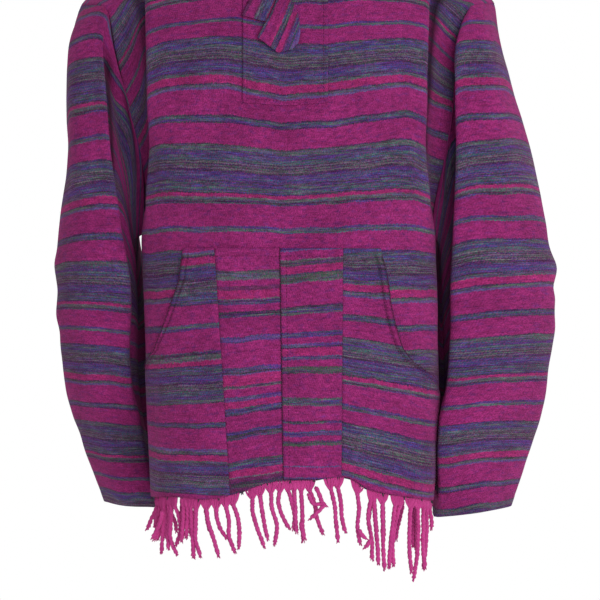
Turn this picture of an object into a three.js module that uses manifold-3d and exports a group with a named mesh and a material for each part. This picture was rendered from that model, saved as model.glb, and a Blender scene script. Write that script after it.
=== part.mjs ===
// Pullover poncho: two body panels, two long sleeves, a neck placket with two ties, a pouch pocket
// pieced from four panels and a fringe along the hem. Millimetres, +Z up, front towards -Y.
// The origin is the shoulder level at the neck, over the middle of the body.
import * as THREE from 'three';
import ManifoldModule from 'manifold-3d';

const wasm = await ManifoldModule();
wasm.setup();
const { Manifold, Mesh: SolidMesh } = wasm;

// ---- cloth ----
const WALL = 2.0;            // brushed cloth
const SEAM_GAP = 0.3;        // between pieces
const HALF_PANEL = 260;      // flat half width of a body panel
const HEM_V = 705;           // down the cloth, shoulder to hem
const ARMPIT_V = 385;        // down the cloth, to the armpit
const SHOULDER_DROP = 60;    // the shoulder edge is cut this much lower at the arm
const NECK_U = 0.44;         // neck point, as a share of the half panel
const NECK_FRONT = 108;      // neckline below the shoulder line, at the centre front
const NECK_BACK = 24;
const PANEL_SCALE_BACK = 0.98;

// ---- mesh rows ----
const ARM_ROWS = 13;         // shoulder to armpit, and half way round a sleeve
const FOLD_ROW = 5;          // of these, to where the armhole turns down: the sleeve's front fold
const FOLD_V = 133;
const SIDE_ROWS = 7;         // armpit to hem
const HALF_COLUMNS = [0, 0.09, 0.18, 0.27, 0.36, 0.44, 0.53, 0.62, 0.7, 0.77, 0.84, 0.92, 1];
const SLEEVE_RINGS = [0, 14, 34, 62, 96, 134, 176, 222, 270, 322, 376, 432, 490, 550, 610];

const table = (names, ...rows) => rows.map((row) => {
  const keys = names.split(' ');
  return Object.fromEntries(keys.map((name, i) => [name, row[i]]));
});

// Centre line of the front, a row per section: v down the cloth, depth in front of the middle.
const CENTRE = table('v depth z',
  [0, 0, 6], [36, 30, -12], [72, 58, -34], [108, 82, -64], [156, 104, -112],
  [274, 118, -230], [441, 124, -397], [560, 127, -516], [705, 128, -661]);

// Quarter line, about 85 mm out on either side, as it differs from the centre line.
const QUARTER = table('v x back drop',
  [0, 80, 0, 5], [72, 80, 0, 3], [156, 82, 0, 1], [274, 84, 1, -4], [441, 88, 3, 0],
  [560, 90, 5, 4], [705, 90, 8, 14]);

// The soft fold where the chest turns to the side, a row per section.
const FOLD_LEFT = table('v x y z',
  [26, -158, 0, -42], [60, -161, -32, -58], [100, -161, -65, -84], [150, -159, -88, -120],
  [274, -158, -95, -234], [385, -161, -85, -343], [441, -157, -80, -400],
  [560, -152, -80, -526], [705, -145, -78, -684]);
const FOLD_RIGHT = table('v x y z',
  [26, 160, 0, -42], [60, 163, -32, -58], [100, 164, -65, -84], [150, 163, -88, -120],
  [274, 161, -95, -230], [385, 166, -86, -342], [441, 164, -82, -400],
  [560, 164, -80, -526], [705, 153, -78, -686]);

// Edge of the front panel: round the armhole to the armpit, then down the side seam.
const EDGE_LEFT = table('v x y z',
  [60, -248, 0, -102], [91, -234, -30, -105], [118, -217, -51, -110], [133, -208, -56, -122],
  [166, -203, -49, -156], [200, -195, -46, -191], [235, -186, -46, -227],
  [298, -172, -34, -290], [335, -169, -18, -325], [385, -170, 0, -375],
  [441, -170.5, 0, -430], [560, -167, 0, -548], [705, -161, 0, -690]);
const EDGE_RIGHT = table('v x y z',
  [60, 252, 0, -99], [91, 238, -30, -103], [118, 222, -51, -108], [133, 212, -56, -120],
  [166, 205, -49, -154], [200, 201, -46, -191], [235, 199, -45, -228],
  [298, 189, -33, -292], [335, 181, -16, -330], [385, 175, 0, -378],
  [441, 176.5, 0, -432], [560, 182, 0, -550], [632, 176, 0, -622], [705, 168, 0, -692]);

// Past the edge the cloth heads for the sleeve's front fold, or round the side below the armpit.
const BEYOND_LEFT = table('v x y z',
  [60, -262, 0, -152], [118, -221, -76, -134], [166, -212, -72, -170], [235, -207, -72, -235],
  [298, -192, -64, -305], [335, -184, -28, -342], [385, -163, 70, -350],
  [441, -157, 80, -400], [560, -152, 80, -526], [705, -145, 78, -684]);
const BEYOND_RIGHT = table('v x y z',
  [60, 264, 0, -149], [118, 219, -78, -132], [166, 198, -76, -170], [235, 197, -76, -236],
  [298, 196, -70, -306], [335, 196, -34, -346], [385, 168, 70, -352],
  [441, 164, 82, -400], [560, 164, 80, -526], [705, 153, 78, -686]);

// Sleeves, a row per ring: v down the sleeve; o outer line, f front, r front fold, i inner front,
// u underarm line. The back half mirrors the front about the ring's midY, reaching `in` further.
const SLEEVE_COLUMNS = 'v midY ox oz fx fy fz rx ry rz ix iy iz ux uz in';
const SLEEVE_LEFT = table(SLEEVE_COLUMNS,
  [0, 0, -248, -102, -232, -36, -105, -208, -56, -122, -194, -46, -205, -170, -375, 0],
  [50, 0, -260, -152, -246, -50, -149, -212, -70, -158, -191, -42, -240, -178, -382, 0],
  [110, 1, -262, -212, -246, -57, -207, -208, -73, -214, -187, -38, -285, -182, -392, 0],
  [180, 3, -261, -284, -244, -60, -280, -202, -72, -285, -184, -34, -338, -182, -407, 0],
  [250, 7, -272, -356, -243, -60, -352, -192, -66, -356, -181, -28, -388, -180, -428, 2],
  [330, 16, -277, -436, -240, -44, -438, -181, -46, -448, -177, -16, -462, -178, -474, 5],
  [420, 36, -274, -520, -238, -20, -522, -184, -18, -530, -178, 10, -540, -179, -546, 10],
  [520, 70, -257, -616, -220, 16, -617, -178, 26, -622, -171, 48, -627, -170, -629, 8],
  [610, 102, -227, -706, -198, 56, -708, -162, 66, -711, -148, 84, -713, -143, -714, 0]);
const SLEEVE_RIGHT = table(SLEEVE_COLUMNS,
  [0, 0, 252, -99, 236, -34, -102, 212, -56, -120, 200, -46, -205, 175, -378, 0],
  [50, 0, 258, -148, 236, -60, -148, 197, -74, -160, 198, -42, -240, 181, -388, 0],
  [110, 1, 273, -205, 242, -66, -206, 196, -76, -218, 196, -38, -285, 184, -400, 0],
  [180, 3, 293, -272, 250, -68, -276, 196, -76, -288, 193, -36, -335, 185, -418, 0],
  [250, 6, 309, -345, 256, -66, -348, 194, -72, -358, 190, -34, -390, 186, -444, 0],
  [330, 9, 322, -425, 262, -58, -430, 191, -64, -440, 188, -28, -452, 187, -486, 2],
  [420, 12, 321, -516, 262, -50, -518, 190, -54, -525, 190, -22, -530, 191, -545, 3],
  [520, 15, 300, -618, 246, -42, -618, 182, -58, -622, 183, -22, -624, 186, -628, 3],
  [610, 20, 272, -704, 232, -28, -708, 192, -20, -714, 182, 0, -716, 181, -717, 0]);
const ARMHOLE_EASE = 100;    // over this much of the sleeve its rings leave the armhole's form

// ---- pouch pocket, in x and z on the front ----
const POCKET_TOP = -397;
const POCKET_OPENING_LEFT = table('x z',
  [-116, -397], [-119, -416], [-125, -436], [-133, -465], [-143, -482], [-153, -497], [-180, -512]);
const POCKET_OPENING_RIGHT = table('x z',
  [106, -397], [112, -415], [116, -436], [119, -460], [124, -485], [132, -511], [147, -526],
  [165, -536], [196, -540]);
const POCKET_SEAMS = table('top hem', [-81, -63], [-6, -2], [66, 64]);

// ---- placket, slit and ties ----
const PLACKET_HALF = 49;
const PLACKET_BOTTOM = -233;
const SLIT_BOTTOM = -146;
const SLIT_TOP_WIDTH = 7;
const SLIT_BOTTOM_WIDTH = 2;
// Each tie from its sewn root down: half width, how far it stands off the front, turn of its face,
// and how far its middle hangs below its corners.
const TIE_FRONT = table('x z half off turn dip',
  [9, -82, 9, 2.65, 0, 0], [5, -97, 8, 5.5, 18, 0], [-1, -112, 8, 9, 26, 0],
  [-5, -130, 13, 10, 16, 2], [-7, -145, 21, 8.6, 6, 7], [-7, -156, 24, 8, 0, 15]);
const TIE_BACK = table('x z half off turn dip',
  [-11, -80, 8, 2.65, 0, 0], [-15, -96, 9, 3, -4, 0], [-21, -110, 11, 3.1, -6, 0],
  [-29, -122, 13, 3.1, -6, 0], [-36, -133, 14, 3.2, -4, 1]);

// ---- fringe ----
const STRANDS = 48;          // on each of front and back
const STRIP_HEIGHT = 3.6;
const ROOT_WIDTH = 5.2;
const STRAND_THICK = 5.6;
const TIP_THICK = 2.6;
// Along the hem from the left side seam (0) to the right (1): length, lean to the right, flare.
const FRINGE = table('at length lean flare',
  [0, 48, 1, 9], [0.1, 56, 1, 5], [0.17, 62, 1, 1], [0.22, 46, 1, 1], [0.3, 66, 9, 1],
  [0.36, 64, 9, 1], [0.45, 50, 12, 1], [0.52, 48, 12, 1], [0.6, 62, 9, 1], [0.68, 78, 6, 1],
  [0.75, 84, 1, 1], [0.84, 88, -3, 1], [0.92, 80, -2, 1], [1, 62, -1, 2]);

// ---- curves ----
const add = (a, b, k = 1) => [a[0] + b[0] * k, a[1] + b[1] * k, a[2] + b[2] * k];
const sub = (a, b) => add(a, b, -1);
const len = (a) => Math.hypot(a[0], a[1], a[2]);
const unit = (a) => add([0, 0, 0], a, 1 / (len(a) || 1));
const cross = (a, b) => [
  a[1] * b[2] - a[2] * b[1], a[2] * b[0] - a[0] * b[2], a[0] * b[1] - a[1] * b[0]];
const dot = (a, b) => a[0] * b[0] + a[1] * b[1] + a[2] * b[2];
const mix = (a, b, t) => a.map((n, i) => n + (b[i] - n) * t);

// A smooth curve through `points` at rising `keys`, straight on past its ends.
function curve(keys, points, key) {
  const last = keys.length - 1;
  const slope = (i) => {
    const a = Math.max(i - 1, 0);
    const b = Math.min(i + 1, last);
    return points[b].map((n, c) => (n - points[a][c]) / (keys[b] - keys[a]));
  };
  if (key <= keys[0]) return points[0].map((n, c) => n + slope(0)[c] * (key - keys[0]));
  if (key >= keys[last]) return points[last].map((n, c) => n + slope(last)[c] * (key - keys[last]));
  let i = 0;
  while (keys[i + 1] < key) i += 1;
  const h = keys[i + 1] - keys[i];
  const t = (key - keys[i]) / h;
  const s0 = slope(i);
  const s1 = slope(i + 1);
  const a = 2 * t ** 3 - 3 * t ** 2 + 1;
  const b = t ** 3 - 2 * t ** 2 + t;
  const d = t ** 3 - t ** 2;
  return points[i].map((n, c) => a * n + b * h * s0[c] + (1 - a) * points[i + 1][c] + d * h * s1[c]);
}
const line = (rows, names, v) =>
  curve(rows.map((r) => r.v), rows.map((r) => names.map((n) => r[n])), v);

// ---- body panels ----
// A point of the body: u from the left edge (-1) to the right (1), v down the cloth.
const KNOTS = { quarter: 0.4, fold: 0.75 };
function bodyLine(side, which, v) {
  const left = side < 0;
  const [depth, z] = line(CENTRE, ['depth', 'z'], v);
  if (which === 'centre') return [0, -depth, z];
  if (which === 'quarter') {
    const [x, back, drop] = line(QUARTER, ['x', 'back', 'drop'], v);
    return [side * x, -depth + back, z - drop];
  }
  const rows = {
    fold: left ? FOLD_LEFT : FOLD_RIGHT,
    edge: left ? EDGE_LEFT : EDGE_RIGHT,
    beyond: left ? BEYOND_LEFT : BEYOND_RIGHT,
  }[which];
  const p = line(rows, ['x', 'y', 'z'], v);
  return which === 'edge' && v >= ARMPIT_V ? [p[0], 0, p[2]] : p;
}
function bodyPoint(u, v, front) {
  const side = u < 0 ? -1 : 1;
  const at = (which, s = side) => bodyLine(s, which, v);
  const keys = [-KNOTS.quarter, 0, KNOTS.quarter, KNOTS.fold, 1, 1.3];
  const points = [at('quarter', -side), at('centre'), at('quarter'), at('fold'), at('edge'),
    at('beyond')];
  const [x, y, z] = curve(keys, points, Math.abs(u));
  if (front) return [x, y, z];
  const inner = Math.min(1, Math.max(0, (1 - Math.abs(u)) * 6));
  return [x, -y * (1 - inner * (1 - PANEL_SCALE_BACK)), z - 6 * inner * (v > ARMPIT_V ? 1 : v / ARMPIT_V)];
}
function topOf(u, front) {
  const far = Math.abs(u);
  if (far >= NECK_U) return (SHOULDER_DROP * (far - NECK_U)) / (1 - NECK_U);
  const fall = front ? NECK_FRONT : NECK_BACK;
  return fall * (1 - (far / NECK_U) ** 2.4) ** 0.8;
}
const rowShare = (i) => {
  const stops = [SHOULDER_DROP, FOLD_V, ARMPIT_V, HEM_V];
  const counts = [FOLD_ROW, ARM_ROWS - FOLD_ROW, SIDE_ROWS];
  let k = 0;
  let left = i;
  while (left > counts[k]) {
    left -= counts[k];
    k += 1;
  }
  const v = stops[k] + ((stops[k + 1] - stops[k]) * left) / counts[k];
  return (v - SHOULDER_DROP) / (HEM_V - SHOULDER_DROP);
};
const COLUMNS = [...HALF_COLUMNS.slice(1).reverse().map((u) => -u), ...HALF_COLUMNS];
function bodyGrid(front) {
  const grid = [];
  for (let i = 0; i <= ARM_ROWS + SIDE_ROWS; i += 1) {
    grid.push(COLUMNS.map((u) => {
      const top = topOf(u, front);
      return bodyPoint(u, top + (HEM_V - top) * rowShare(i), front);
    }));
  }
  COLUMNS.forEach((u, j) => {
    if (Math.abs(u) >= NECK_U - 1e-6) {
      const [x, , z] = bodyPoint(u, topOf(u, true), true);
      grid[0][j] = [x, 0, z];
    }
  });
  return grid;
}

// ---- sleeves ----
// A ring of a sleeve: `step` 0 at the outer line, FOLD_ROW at the front fold and ARM_ROWS at the
// underarm, in front or behind.
function ringPoint(rows, v, step, front) {
  const names = SLEEVE_COLUMNS.split(' ').slice(1);
  const values = line(rows, names, v);
  const r = Object.fromEntries(names.map((n, i) => [n, values[i]]));
  const inward = Math.sign(-r.ox) * r.in;
  const behind = (p, shift) => [p[0] + shift, 2 * r.midY - p[1], p[2]];
  const outer = [r.ox, r.midY, r.oz];
  const under = [r.ux, r.midY, r.uz];
  const f = [r.fx, r.fy, r.fz];
  const fold = [r.rx, r.ry, r.rz];
  const inner = [r.ix, r.iy, r.iz];
  const ahead = [f, fold, inner];
  const back = [behind(f, 0), behind(fold, inward), behind(inner, inward)];
  const own = front ? ahead : back;
  const other = front ? back : ahead;
  const points = [other[0], outer, ...own, under, other[2]];
  const keys = [0];
  for (let i = 1; i < points.length; i += 1) keys.push(keys[i - 1] + len(sub(points[i], points[i - 1])));
  const [, from, , turn] = keys;
  const to = keys[points.length - 2];
  if (step <= FOLD_ROW) return curve(keys, points, from + ((turn - from) * step) / FOLD_ROW);
  return curve(keys, points, turn + ((to - turn) * (step - FOLD_ROW)) / (ARM_ROWS - FOLD_ROW));
}
function sleeveGrid(rows, front, back, column) {
  const around = [];
  for (let step = 0; step <= ARM_ROWS; step += 1) around.push({ step, ahead: true });
  for (let step = ARM_ROWS - 1; step > 0; step -= 1) around.push({ step, ahead: false });
  return SLEEVE_RINGS.map((v) => around.map(({ step, ahead }) => {
    const hole = (ahead ? front : back)[step][column];
    const ease = Math.max(0, 1 - v / ARMHOLE_EASE) ** 2;
    const p = ringPoint(rows, v, step, ahead);
    return add(p, sub(hole, ringPoint(rows, 0, step, ahead)), ease);
  }));
}

// ---- walls ----
// Cells of a grid turned to face out of the garment.
function cellsOf(grid, { wrap = false, flip = false } = {}) {
  const cells = [];
  const width = grid[0].length;
  for (let i = 0; i + 1 < grid.length; i += 1) {
    for (let j = 0; j < (wrap ? width : width - 1); j += 1) {
      const k = (j + 1) % width;
      const c = [[i, j], [i + 1, j], [i + 1, k], [i, k]];
      cells.push(flip ? c.reverse() : c);
    }
  }
  return cells;
}
const place = (p) => p.map((n) => Math.round(n * 500)).join();
function normalsOf(pieces) {
  const sums = new Map();
  pieces.forEach(({ grid, cells }) => cells.forEach((cell) => {
    const p = cell.map(([i, j]) => grid[i][j]);
    const n = cross(sub(p[2], p[0]), sub(p[3], p[1]));
    p.forEach((point) => {
      const key = place(point);
      sums.set(key, add(sums.get(key) ?? [0, 0, 0], n));
    });
  }));
  return (point) => unit(sums.get(place(point)));
}
// Closed wall between `low` and `high` off the grid, its listed edges drawn in for the seams.
function wall(piece, normal, low, high, seams = {}) {
  const { grid, cells } = piece;
  const last = grid.length - 1;
  const wide = grid[0].length - 1;
  // Square to the seam and in the cloth: from the seam's point towards its neighbour inside.
  const toward = (here, inside, before, after, n) => {
    const along = unit(sub(after, before));
    const side = cross(along, n);
    const sign = Math.sign(dot(side, sub(inside, here)));
    return add([0, 0, 0], unit(side), (sign * SEAM_GAP) / 2);
  };
  const inset = (i, j) => {
    const here = grid[i][j];
    const n = normal(here);
    const around = seams.wrap ? wide + 1 : Infinity;
    const acrossFrom = grid[i][seams.wrap ? (j + wide) % around : Math.max(j - 1, 0)];
    const acrossTo = grid[i][seams.wrap ? (j + 1) % around : Math.min(j + 1, wide)];
    const downFrom = grid[Math.max(i - 1, 0)][j];
    const downTo = grid[Math.min(i + 1, last)][j];
    let shift = [0, 0, 0];
    if (i === 0 && seams.top?.(j)) shift = add(shift, toward(here, grid[1][j], acrossFrom, acrossTo, n));
    if (j === 0 && seams.sides) shift = add(shift, toward(here, grid[i][1], downFrom, downTo, n));
    if (j === wide && seams.sides) {
      shift = add(shift, toward(here, grid[i][wide - 1], downFrom, downTo, n));
    }
    return shift;
  };
  const index = new Map();
  const points = [];
  const bases = [];
  grid.forEach((row, i) => row.forEach((p, j) => {
    const n = normal(p);
    bases.push(place(p));
    const q = add(p, inset(i, j));
    index.set(`${i},${j}`, points.length / 2);
    points.push(add(q, n, high), add(q, n, low));
  }));
  const at = ([i, j]) => index.get(`${i},${j}`) * 2;
  const faces = [];
  const edges = new Map();
  cells.forEach((cell) => {
    // Each cell is split along its shorter diagonal.
    const ends = cell.map(([i, j]) => grid[i][j]);
    const long = len(sub(ends[0], ends[2])) > len(sub(ends[1], ends[3])) + 1e-6;
    const [a, b, c, d] = (long ? [...cell.slice(1), cell[0]] : cell).map(at);
    faces.push([a, b, c], [a, c, d], [a + 1, c + 1, b + 1], [a + 1, d + 1, c + 1]);
    [[a, b], [b, c], [c, d], [d, a]].forEach(([p, q]) => {
      if (edges.has(`${q},${p}`)) edges.delete(`${q},${p}`);
      else edges.set(`${p},${q}`, [p, q]);
    });
  });
  // Both walls at a seam split its edge along the same diagonal.
  edges.forEach(([p, q]) => {
    if (bases[p / 2] < bases[q / 2]) faces.push([p, p + 1, q + 1], [p, q + 1, q]);
    else faces.push([p, p + 1, q], [p + 1, q + 1, q]);
  });
  return { points, faces };
}

// ---- solids ----
function solidOf({ points, faces }) {
  const mesh = new SolidMesh({
    numProp: 3,
    vertProperties: Float32Array.from(points.flat()),
    triVerts: Uint32Array.from(faces.flat()),
  });
  mesh.merge();
  return new Manifold(mesh);
}
// A block through the front, its outline given in x and z.
function through(outline, near = -200, far = -0.5) {
  const ring = outline.map(({ x, z }) => [x, z]);
  return Manifold.extrude([ring], far - near).rotate([90, 0, 0]).translate([0, far, 0]);
}
const group = new THREE.Group();
group.name = 'pullover_poncho';
function addNode(name, source, colour, roughness = 0.95) {
  const solid = source instanceof Manifold ? source : solidOf(source);
  const mesh = solid.getMesh();
  const geometry = new THREE.BufferGeometry();
  const stride = mesh.numProp;
  const positions = new Float32Array((mesh.vertProperties.length / stride) * 3);
  for (let i = 0; i < positions.length / 3; i += 1) {
    for (let c = 0; c < 3; c += 1) positions[i * 3 + c] = mesh.vertProperties[i * stride + c];
  }
  geometry.setAttribute('position', new THREE.BufferAttribute(positions, 3));
  geometry.setIndex(new THREE.BufferAttribute(new Uint32Array(mesh.triVerts), 1));
  geometry.computeVertexNormals();
  const material = new THREE.MeshStandardMaterial({ color: colour, roughness, metalness: 0 });
  const node = new THREE.Mesh(geometry, material);
  node.name = name;
  group.add(node);
}

const MAGENTA = 0xa3195f;
const MAGENTA_DEEP = 0x8c1552;
const YARN = 0xb01c68;

const frontGrid = bodyGrid(true);
const backGrid = bodyGrid(false);
const armGrids = [
  sleeveGrid(SLEEVE_LEFT, frontGrid, backGrid, 0),
  sleeveGrid(SLEEVE_RIGHT, frontGrid, backGrid, COLUMNS.length - 1),
];
const front = { grid: frontGrid, cells: cellsOf(frontGrid) };
const back = { grid: backGrid, cells: cellsOf(backGrid, { flip: true }) };
const sleeveLeft = { grid: armGrids[0], cells: cellsOf(armGrids[0], { wrap: true, flip: false }) };
const sleeveRight = { grid: armGrids[1], cells: cellsOf(armGrids[1], { wrap: true, flip: true }) };
const normal = normalsOf([front, back, sleeveLeft, sleeveRight]);
const isShoulder = (j) => Math.abs(COLUMNS[j]) >= NECK_U - 1e-6;

const slitShare = (z) => (z - SLIT_BOTTOM) / (-60 - SLIT_BOTTOM);
const slit = (z) => (SLIT_BOTTOM_WIDTH + (SLIT_TOP_WIDTH - SLIT_BOTTOM_WIDTH) * slitShare(z)) / 2;
const slitCut = through([
  { x: -slit(SLIT_BOTTOM), z: SLIT_BOTTOM }, { x: slit(SLIT_BOTTOM), z: SLIT_BOTTOM },
  { x: slit(-40), z: -40 }, { x: -slit(-40), z: -40 }]);

const seams = { top: isShoulder, sides: true };
addNode('body_front', solidOf(wall(front, normal, -WALL, 0, seams)).subtract(slitCut), MAGENTA);
addNode('body_back', wall(back, normal, -WALL, 0, seams), MAGENTA);
const armSeams = { top: () => true, wrap: true };
addNode('sleeve_left', wall(sleeveLeft, normal, -WALL, 0, armSeams), MAGENTA);
addNode('sleeve_right', wall(sleeveRight, normal, -WALL, 0, armSeams), MAGENTA);

// Layer of cloth lying on part of the front, made from the panel's own points moved out.
function overlay(firstRow, lastRow, firstColumn, lastColumn, lift) {
  const grid = frontGrid.slice(firstRow, lastRow + 1).map((r) => r.slice(firstColumn, lastColumn + 1));
  return solidOf(wall({ grid, cells: cellsOf(grid) }, normal, lift, lift + WALL));
}
const middle = (COLUMNS.length - 1) / 2;
const placketOutline = [
  { x: -PLACKET_HALF, z: PLACKET_BOTTOM }, { x: PLACKET_HALF, z: PLACKET_BOTTOM },
  { x: PLACKET_HALF, z: 20 }, { x: -PLACKET_HALF, z: 20 }];
addNode('neck_placket', overlay(0, 9, middle - 4, middle + 4, SEAM_GAP)
  .intersect(through(placketOutline)).subtract(slitCut), MAGENTA_DEEP);

const pouch = overlay(9, ARM_ROWS + SIDE_ROWS, 0, COLUMNS.length - 1, SEAM_GAP);
const BELOW_HEM = -760;
const seamX = (k, z) => {
  const { top, hem } = POCKET_SEAMS[k];
  return top + ((hem - top) * (z - POCKET_TOP)) / (-661 - POCKET_TOP);
};
const half = SEAM_GAP / 2;
const between = (k) => [
  { x: seamX(k, POCKET_TOP) + half, z: POCKET_TOP },
  { x: seamX(k, BELOW_HEM) + half, z: BELOW_HEM },
  { x: seamX(k + 1, BELOW_HEM) - half, z: BELOW_HEM },
  { x: seamX(k + 1, POCKET_TOP) - half, z: POCKET_TOP }];
const farLeft = [...POCKET_OPENING_LEFT, { x: -200, z: -513 }, { x: -200, z: BELOW_HEM },
  { x: seamX(0, BELOW_HEM) - half, z: BELOW_HEM }, { x: seamX(0, POCKET_TOP) - half, z: POCKET_TOP }];
const farRight = [{ x: seamX(2, POCKET_TOP) + half, z: POCKET_TOP },
  { x: seamX(2, BELOW_HEM) + half, z: BELOW_HEM }, { x: 210, z: BELOW_HEM }, { x: 210, z: -541 },
  ...POCKET_OPENING_RIGHT.slice().reverse()];
[farLeft, between(0), between(1), farRight].forEach((outline, k) => {
  addNode(`pocket_panel_${k + 1}`, pouch.intersect(through(outline)), k % 2 ? MAGENTA : MAGENTA_DEEP);
});

// ---- ties ----
// Where the front lies at a given x and z, by walking to it over the cloth.
function locate(x, z) {
  let u = x / 210;
  let v = -z + 44;
  for (let i = 0; i < 12; i += 1) {
    const p = bodyPoint(u, v, true);
    const du = (bodyPoint(u + 1e-3, v, true)[0] - p[0]) / 1e-3;
    const dv = (bodyPoint(u, v + 0.5, true)[2] - p[2]) / 0.5;
    u += (x - p[0]) / du;
    v += (z - p[2]) / dv;
  }
  const p = bodyPoint(u, v, true);
  const across = sub(bodyPoint(u + 0.02, v, true), bodyPoint(u - 0.02, v, true));
  const down = sub(bodyPoint(u, v + 2, true), bodyPoint(u, v - 2, true));
  return { p, n: unit(cross(down, across)) };
}
function tieGrid(rows) {
  const keyed = rows.map((r, i) => ({ ...r, v: i }));
  const steps = (rows.length - 1) * 2;
  const grid = [];
  for (let i = 0; i <= steps; i += 1) {
    const names = ['x', 'z', 'half', 'off', 'turn', 'dip'];
    const [x, z, halfWidth, off, turn, dip] = line(keyed, names, i / 2);
    const [x2, z2] = line(keyed, ['x', 'z'], i / 2 + 0.01);
    const [x1, z1] = line(keyed, ['x', 'z'], i / 2 - 0.01);
    const run = unit([x2 - x1, 0, z2 - z1]);
    const lateral = [-run[2], 0, run[0]];
    const a = (turn * Math.PI) / 180;
    grid.push([-1, -0.5, 0, 0.5, 1].map((w) => {
      const reach = w * halfWidth * Math.cos(a);
      const hang = dip * (1 - Math.abs(w) ** 1.5);
      const { p, n } = locate(x + lateral[0] * reach + run[0] * hang,
        z + lateral[2] * reach + run[2] * hang);
      return add(p, n, off + w * halfWidth * Math.sin(a) + Math.abs(Math.sin(a)) * halfWidth);
    }));
  }
  return grid;
}
[['tie_front', TIE_FRONT], ['tie_back', TIE_BACK]].forEach(([name, rows]) => {
  const grid = tieGrid(rows);
  const piece = { grid, cells: cellsOf(grid) };
  addNode(name, wall(piece, normalsOf([piece]), 0, WALL), MAGENTA);
});

// ---- fringe ----
// `along` is 1 where the hem is walked left to right, -1 where it is walked back.
function fringe(name, grid, along) {
  const last = grid.length - 1;
  const hem = grid[last].map((p, j) => {
    const down = unit(sub(p, grid[last - 1][j]));
    return { p, n: normal(p), down };
  });
  const runs = [0];
  for (let j = 1; j < hem.length; j += 1) runs.push(runs[j - 1] + len(sub(hem[j].p, hem[j - 1].p)));
  const total = runs[runs.length - 1];
  const sample = (at) => {
    let j = 0;
    while (j + 2 < runs.length && runs[j + 1] < at) j += 1;
    const t = (at - runs[j]) / (runs[j + 1] - runs[j]);
    return {
      p: mix(hem[j].p, hem[j + 1].p, t),
      n: unit(mix(hem[j].n, hem[j + 1].n, t)),
      down: unit(mix(hem[j].down, hem[j + 1].down, t)),
    };
  };
  const pitch = total / STRANDS;
  const stops = [1];
  for (let k = 0; k < STRANDS; k += 1) {
    const middleOf = pitch * (k + 0.5) + 0.9 * Math.sin(k * 5.1);
    stops.push(middleOf - ROOT_WIDTH / 2, middleOf + ROOT_WIDTH / 2);
  }
  stops.push(total - 1);
  const points = [];
  const faces = [];
  const quad = (a, b, c, d) => faces.push([a, b, c], [a, c, d]);
  stops.forEach((at) => {
    const { p, n, down } = sample(at);
    const top = add(p, down, SEAM_GAP);
    const low = add(p, down, SEAM_GAP + STRIP_HEIGHT);
    points.push(top, add(top, n, -WALL), add(low, n, -WALL), low);
  });
  const end = (stops.length - 1) * 4;
  quad(0, 1, 2, 3);
  quad(end + 3, end + 2, end + 1, end);
  for (let s = 0; s + 1 < stops.length; s += 1) {
    const a = s * 4;
    const b = a + 4;
    quad(a, a + 3, b + 3, b);
    quad(a + 1, b + 1, b + 2, a + 2);
    quad(a, b, b + 1, a + 1);
    if (s % 2 === 0) quad(a + 3, a + 2, b + 2, b + 3);
    else {
      const k = (s - 1) / 2;
      const mid = sample((stops[s] + stops[s + 1]) / 2);
      const share = along > 0 ? (k + 0.5) / STRANDS : 1 - (k + 0.5) / STRANDS;
      const rows = FRINGE.map((r) => ({ ...r, v: r.at }));
      const [length, lean, flare] = line(rows, ['length', 'lean', 'flare'], share);
      const reach = length + 4 * Math.sin(k * 2.7);
      const tangent = unit(sub(points[b + 3], points[a + 3]));
      const sideways = along * (lean + 0.8 * Math.sin(k * 3.9));
      const rootCentre = add(add(mid.p, mid.down, SEAM_GAP + STRIP_HEIGHT), mid.n, -WALL / 2);
      let ring = [a + 3, a + 2, b + 2, b + 3];
      [[0.14, 4.4], [0.55, STRAND_THICK], [1, TIP_THICK]].forEach(([t, thick]) => {
        let c = add(rootCentre, [0, 0, -reach * t]);
        c = add(c, tangent, sideways * t ** 1.4);
        c = add(c, mid.n, flare * t);
        const next = [];
        [[-1, 1], [-1, -1], [1, -1], [1, 1]].forEach(([w, d]) => {
          const corner = add(c, tangent, (w * thick) / 2);
          next.push(points.length);
          points.push(add(corner, mid.n, (d * thick) / 2));
        });
        for (let c4 = 0; c4 < 4; c4 += 1) {
          quad(ring[c4], ring[(c4 + 1) % 4], next[(c4 + 1) % 4], next[c4]);
        }
        ring = next;
      });
      quad(ring[0], ring[1], ring[2], ring[3]);
    }
  }
  addNode(name, { points, faces }, YARN);
}
fringe('fringe_front', frontGrid, 1);
fringe('fringe_back', backGrid.map((row) => row.slice().reverse()), -1);

export default group;
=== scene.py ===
# Pullover poncho: a drop-shouldered, long-sleeved garment of brushed striped twill, in its worn
# form and empty, with a placket, two ties, a pieced pouch pocket and a fringe of its own warp.
# Blender metres, +Z up, front towards -Y. The sizes below are millimetres, as they are measured.
import math
import random

import bmesh
import bpy
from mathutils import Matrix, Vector, noise


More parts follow.
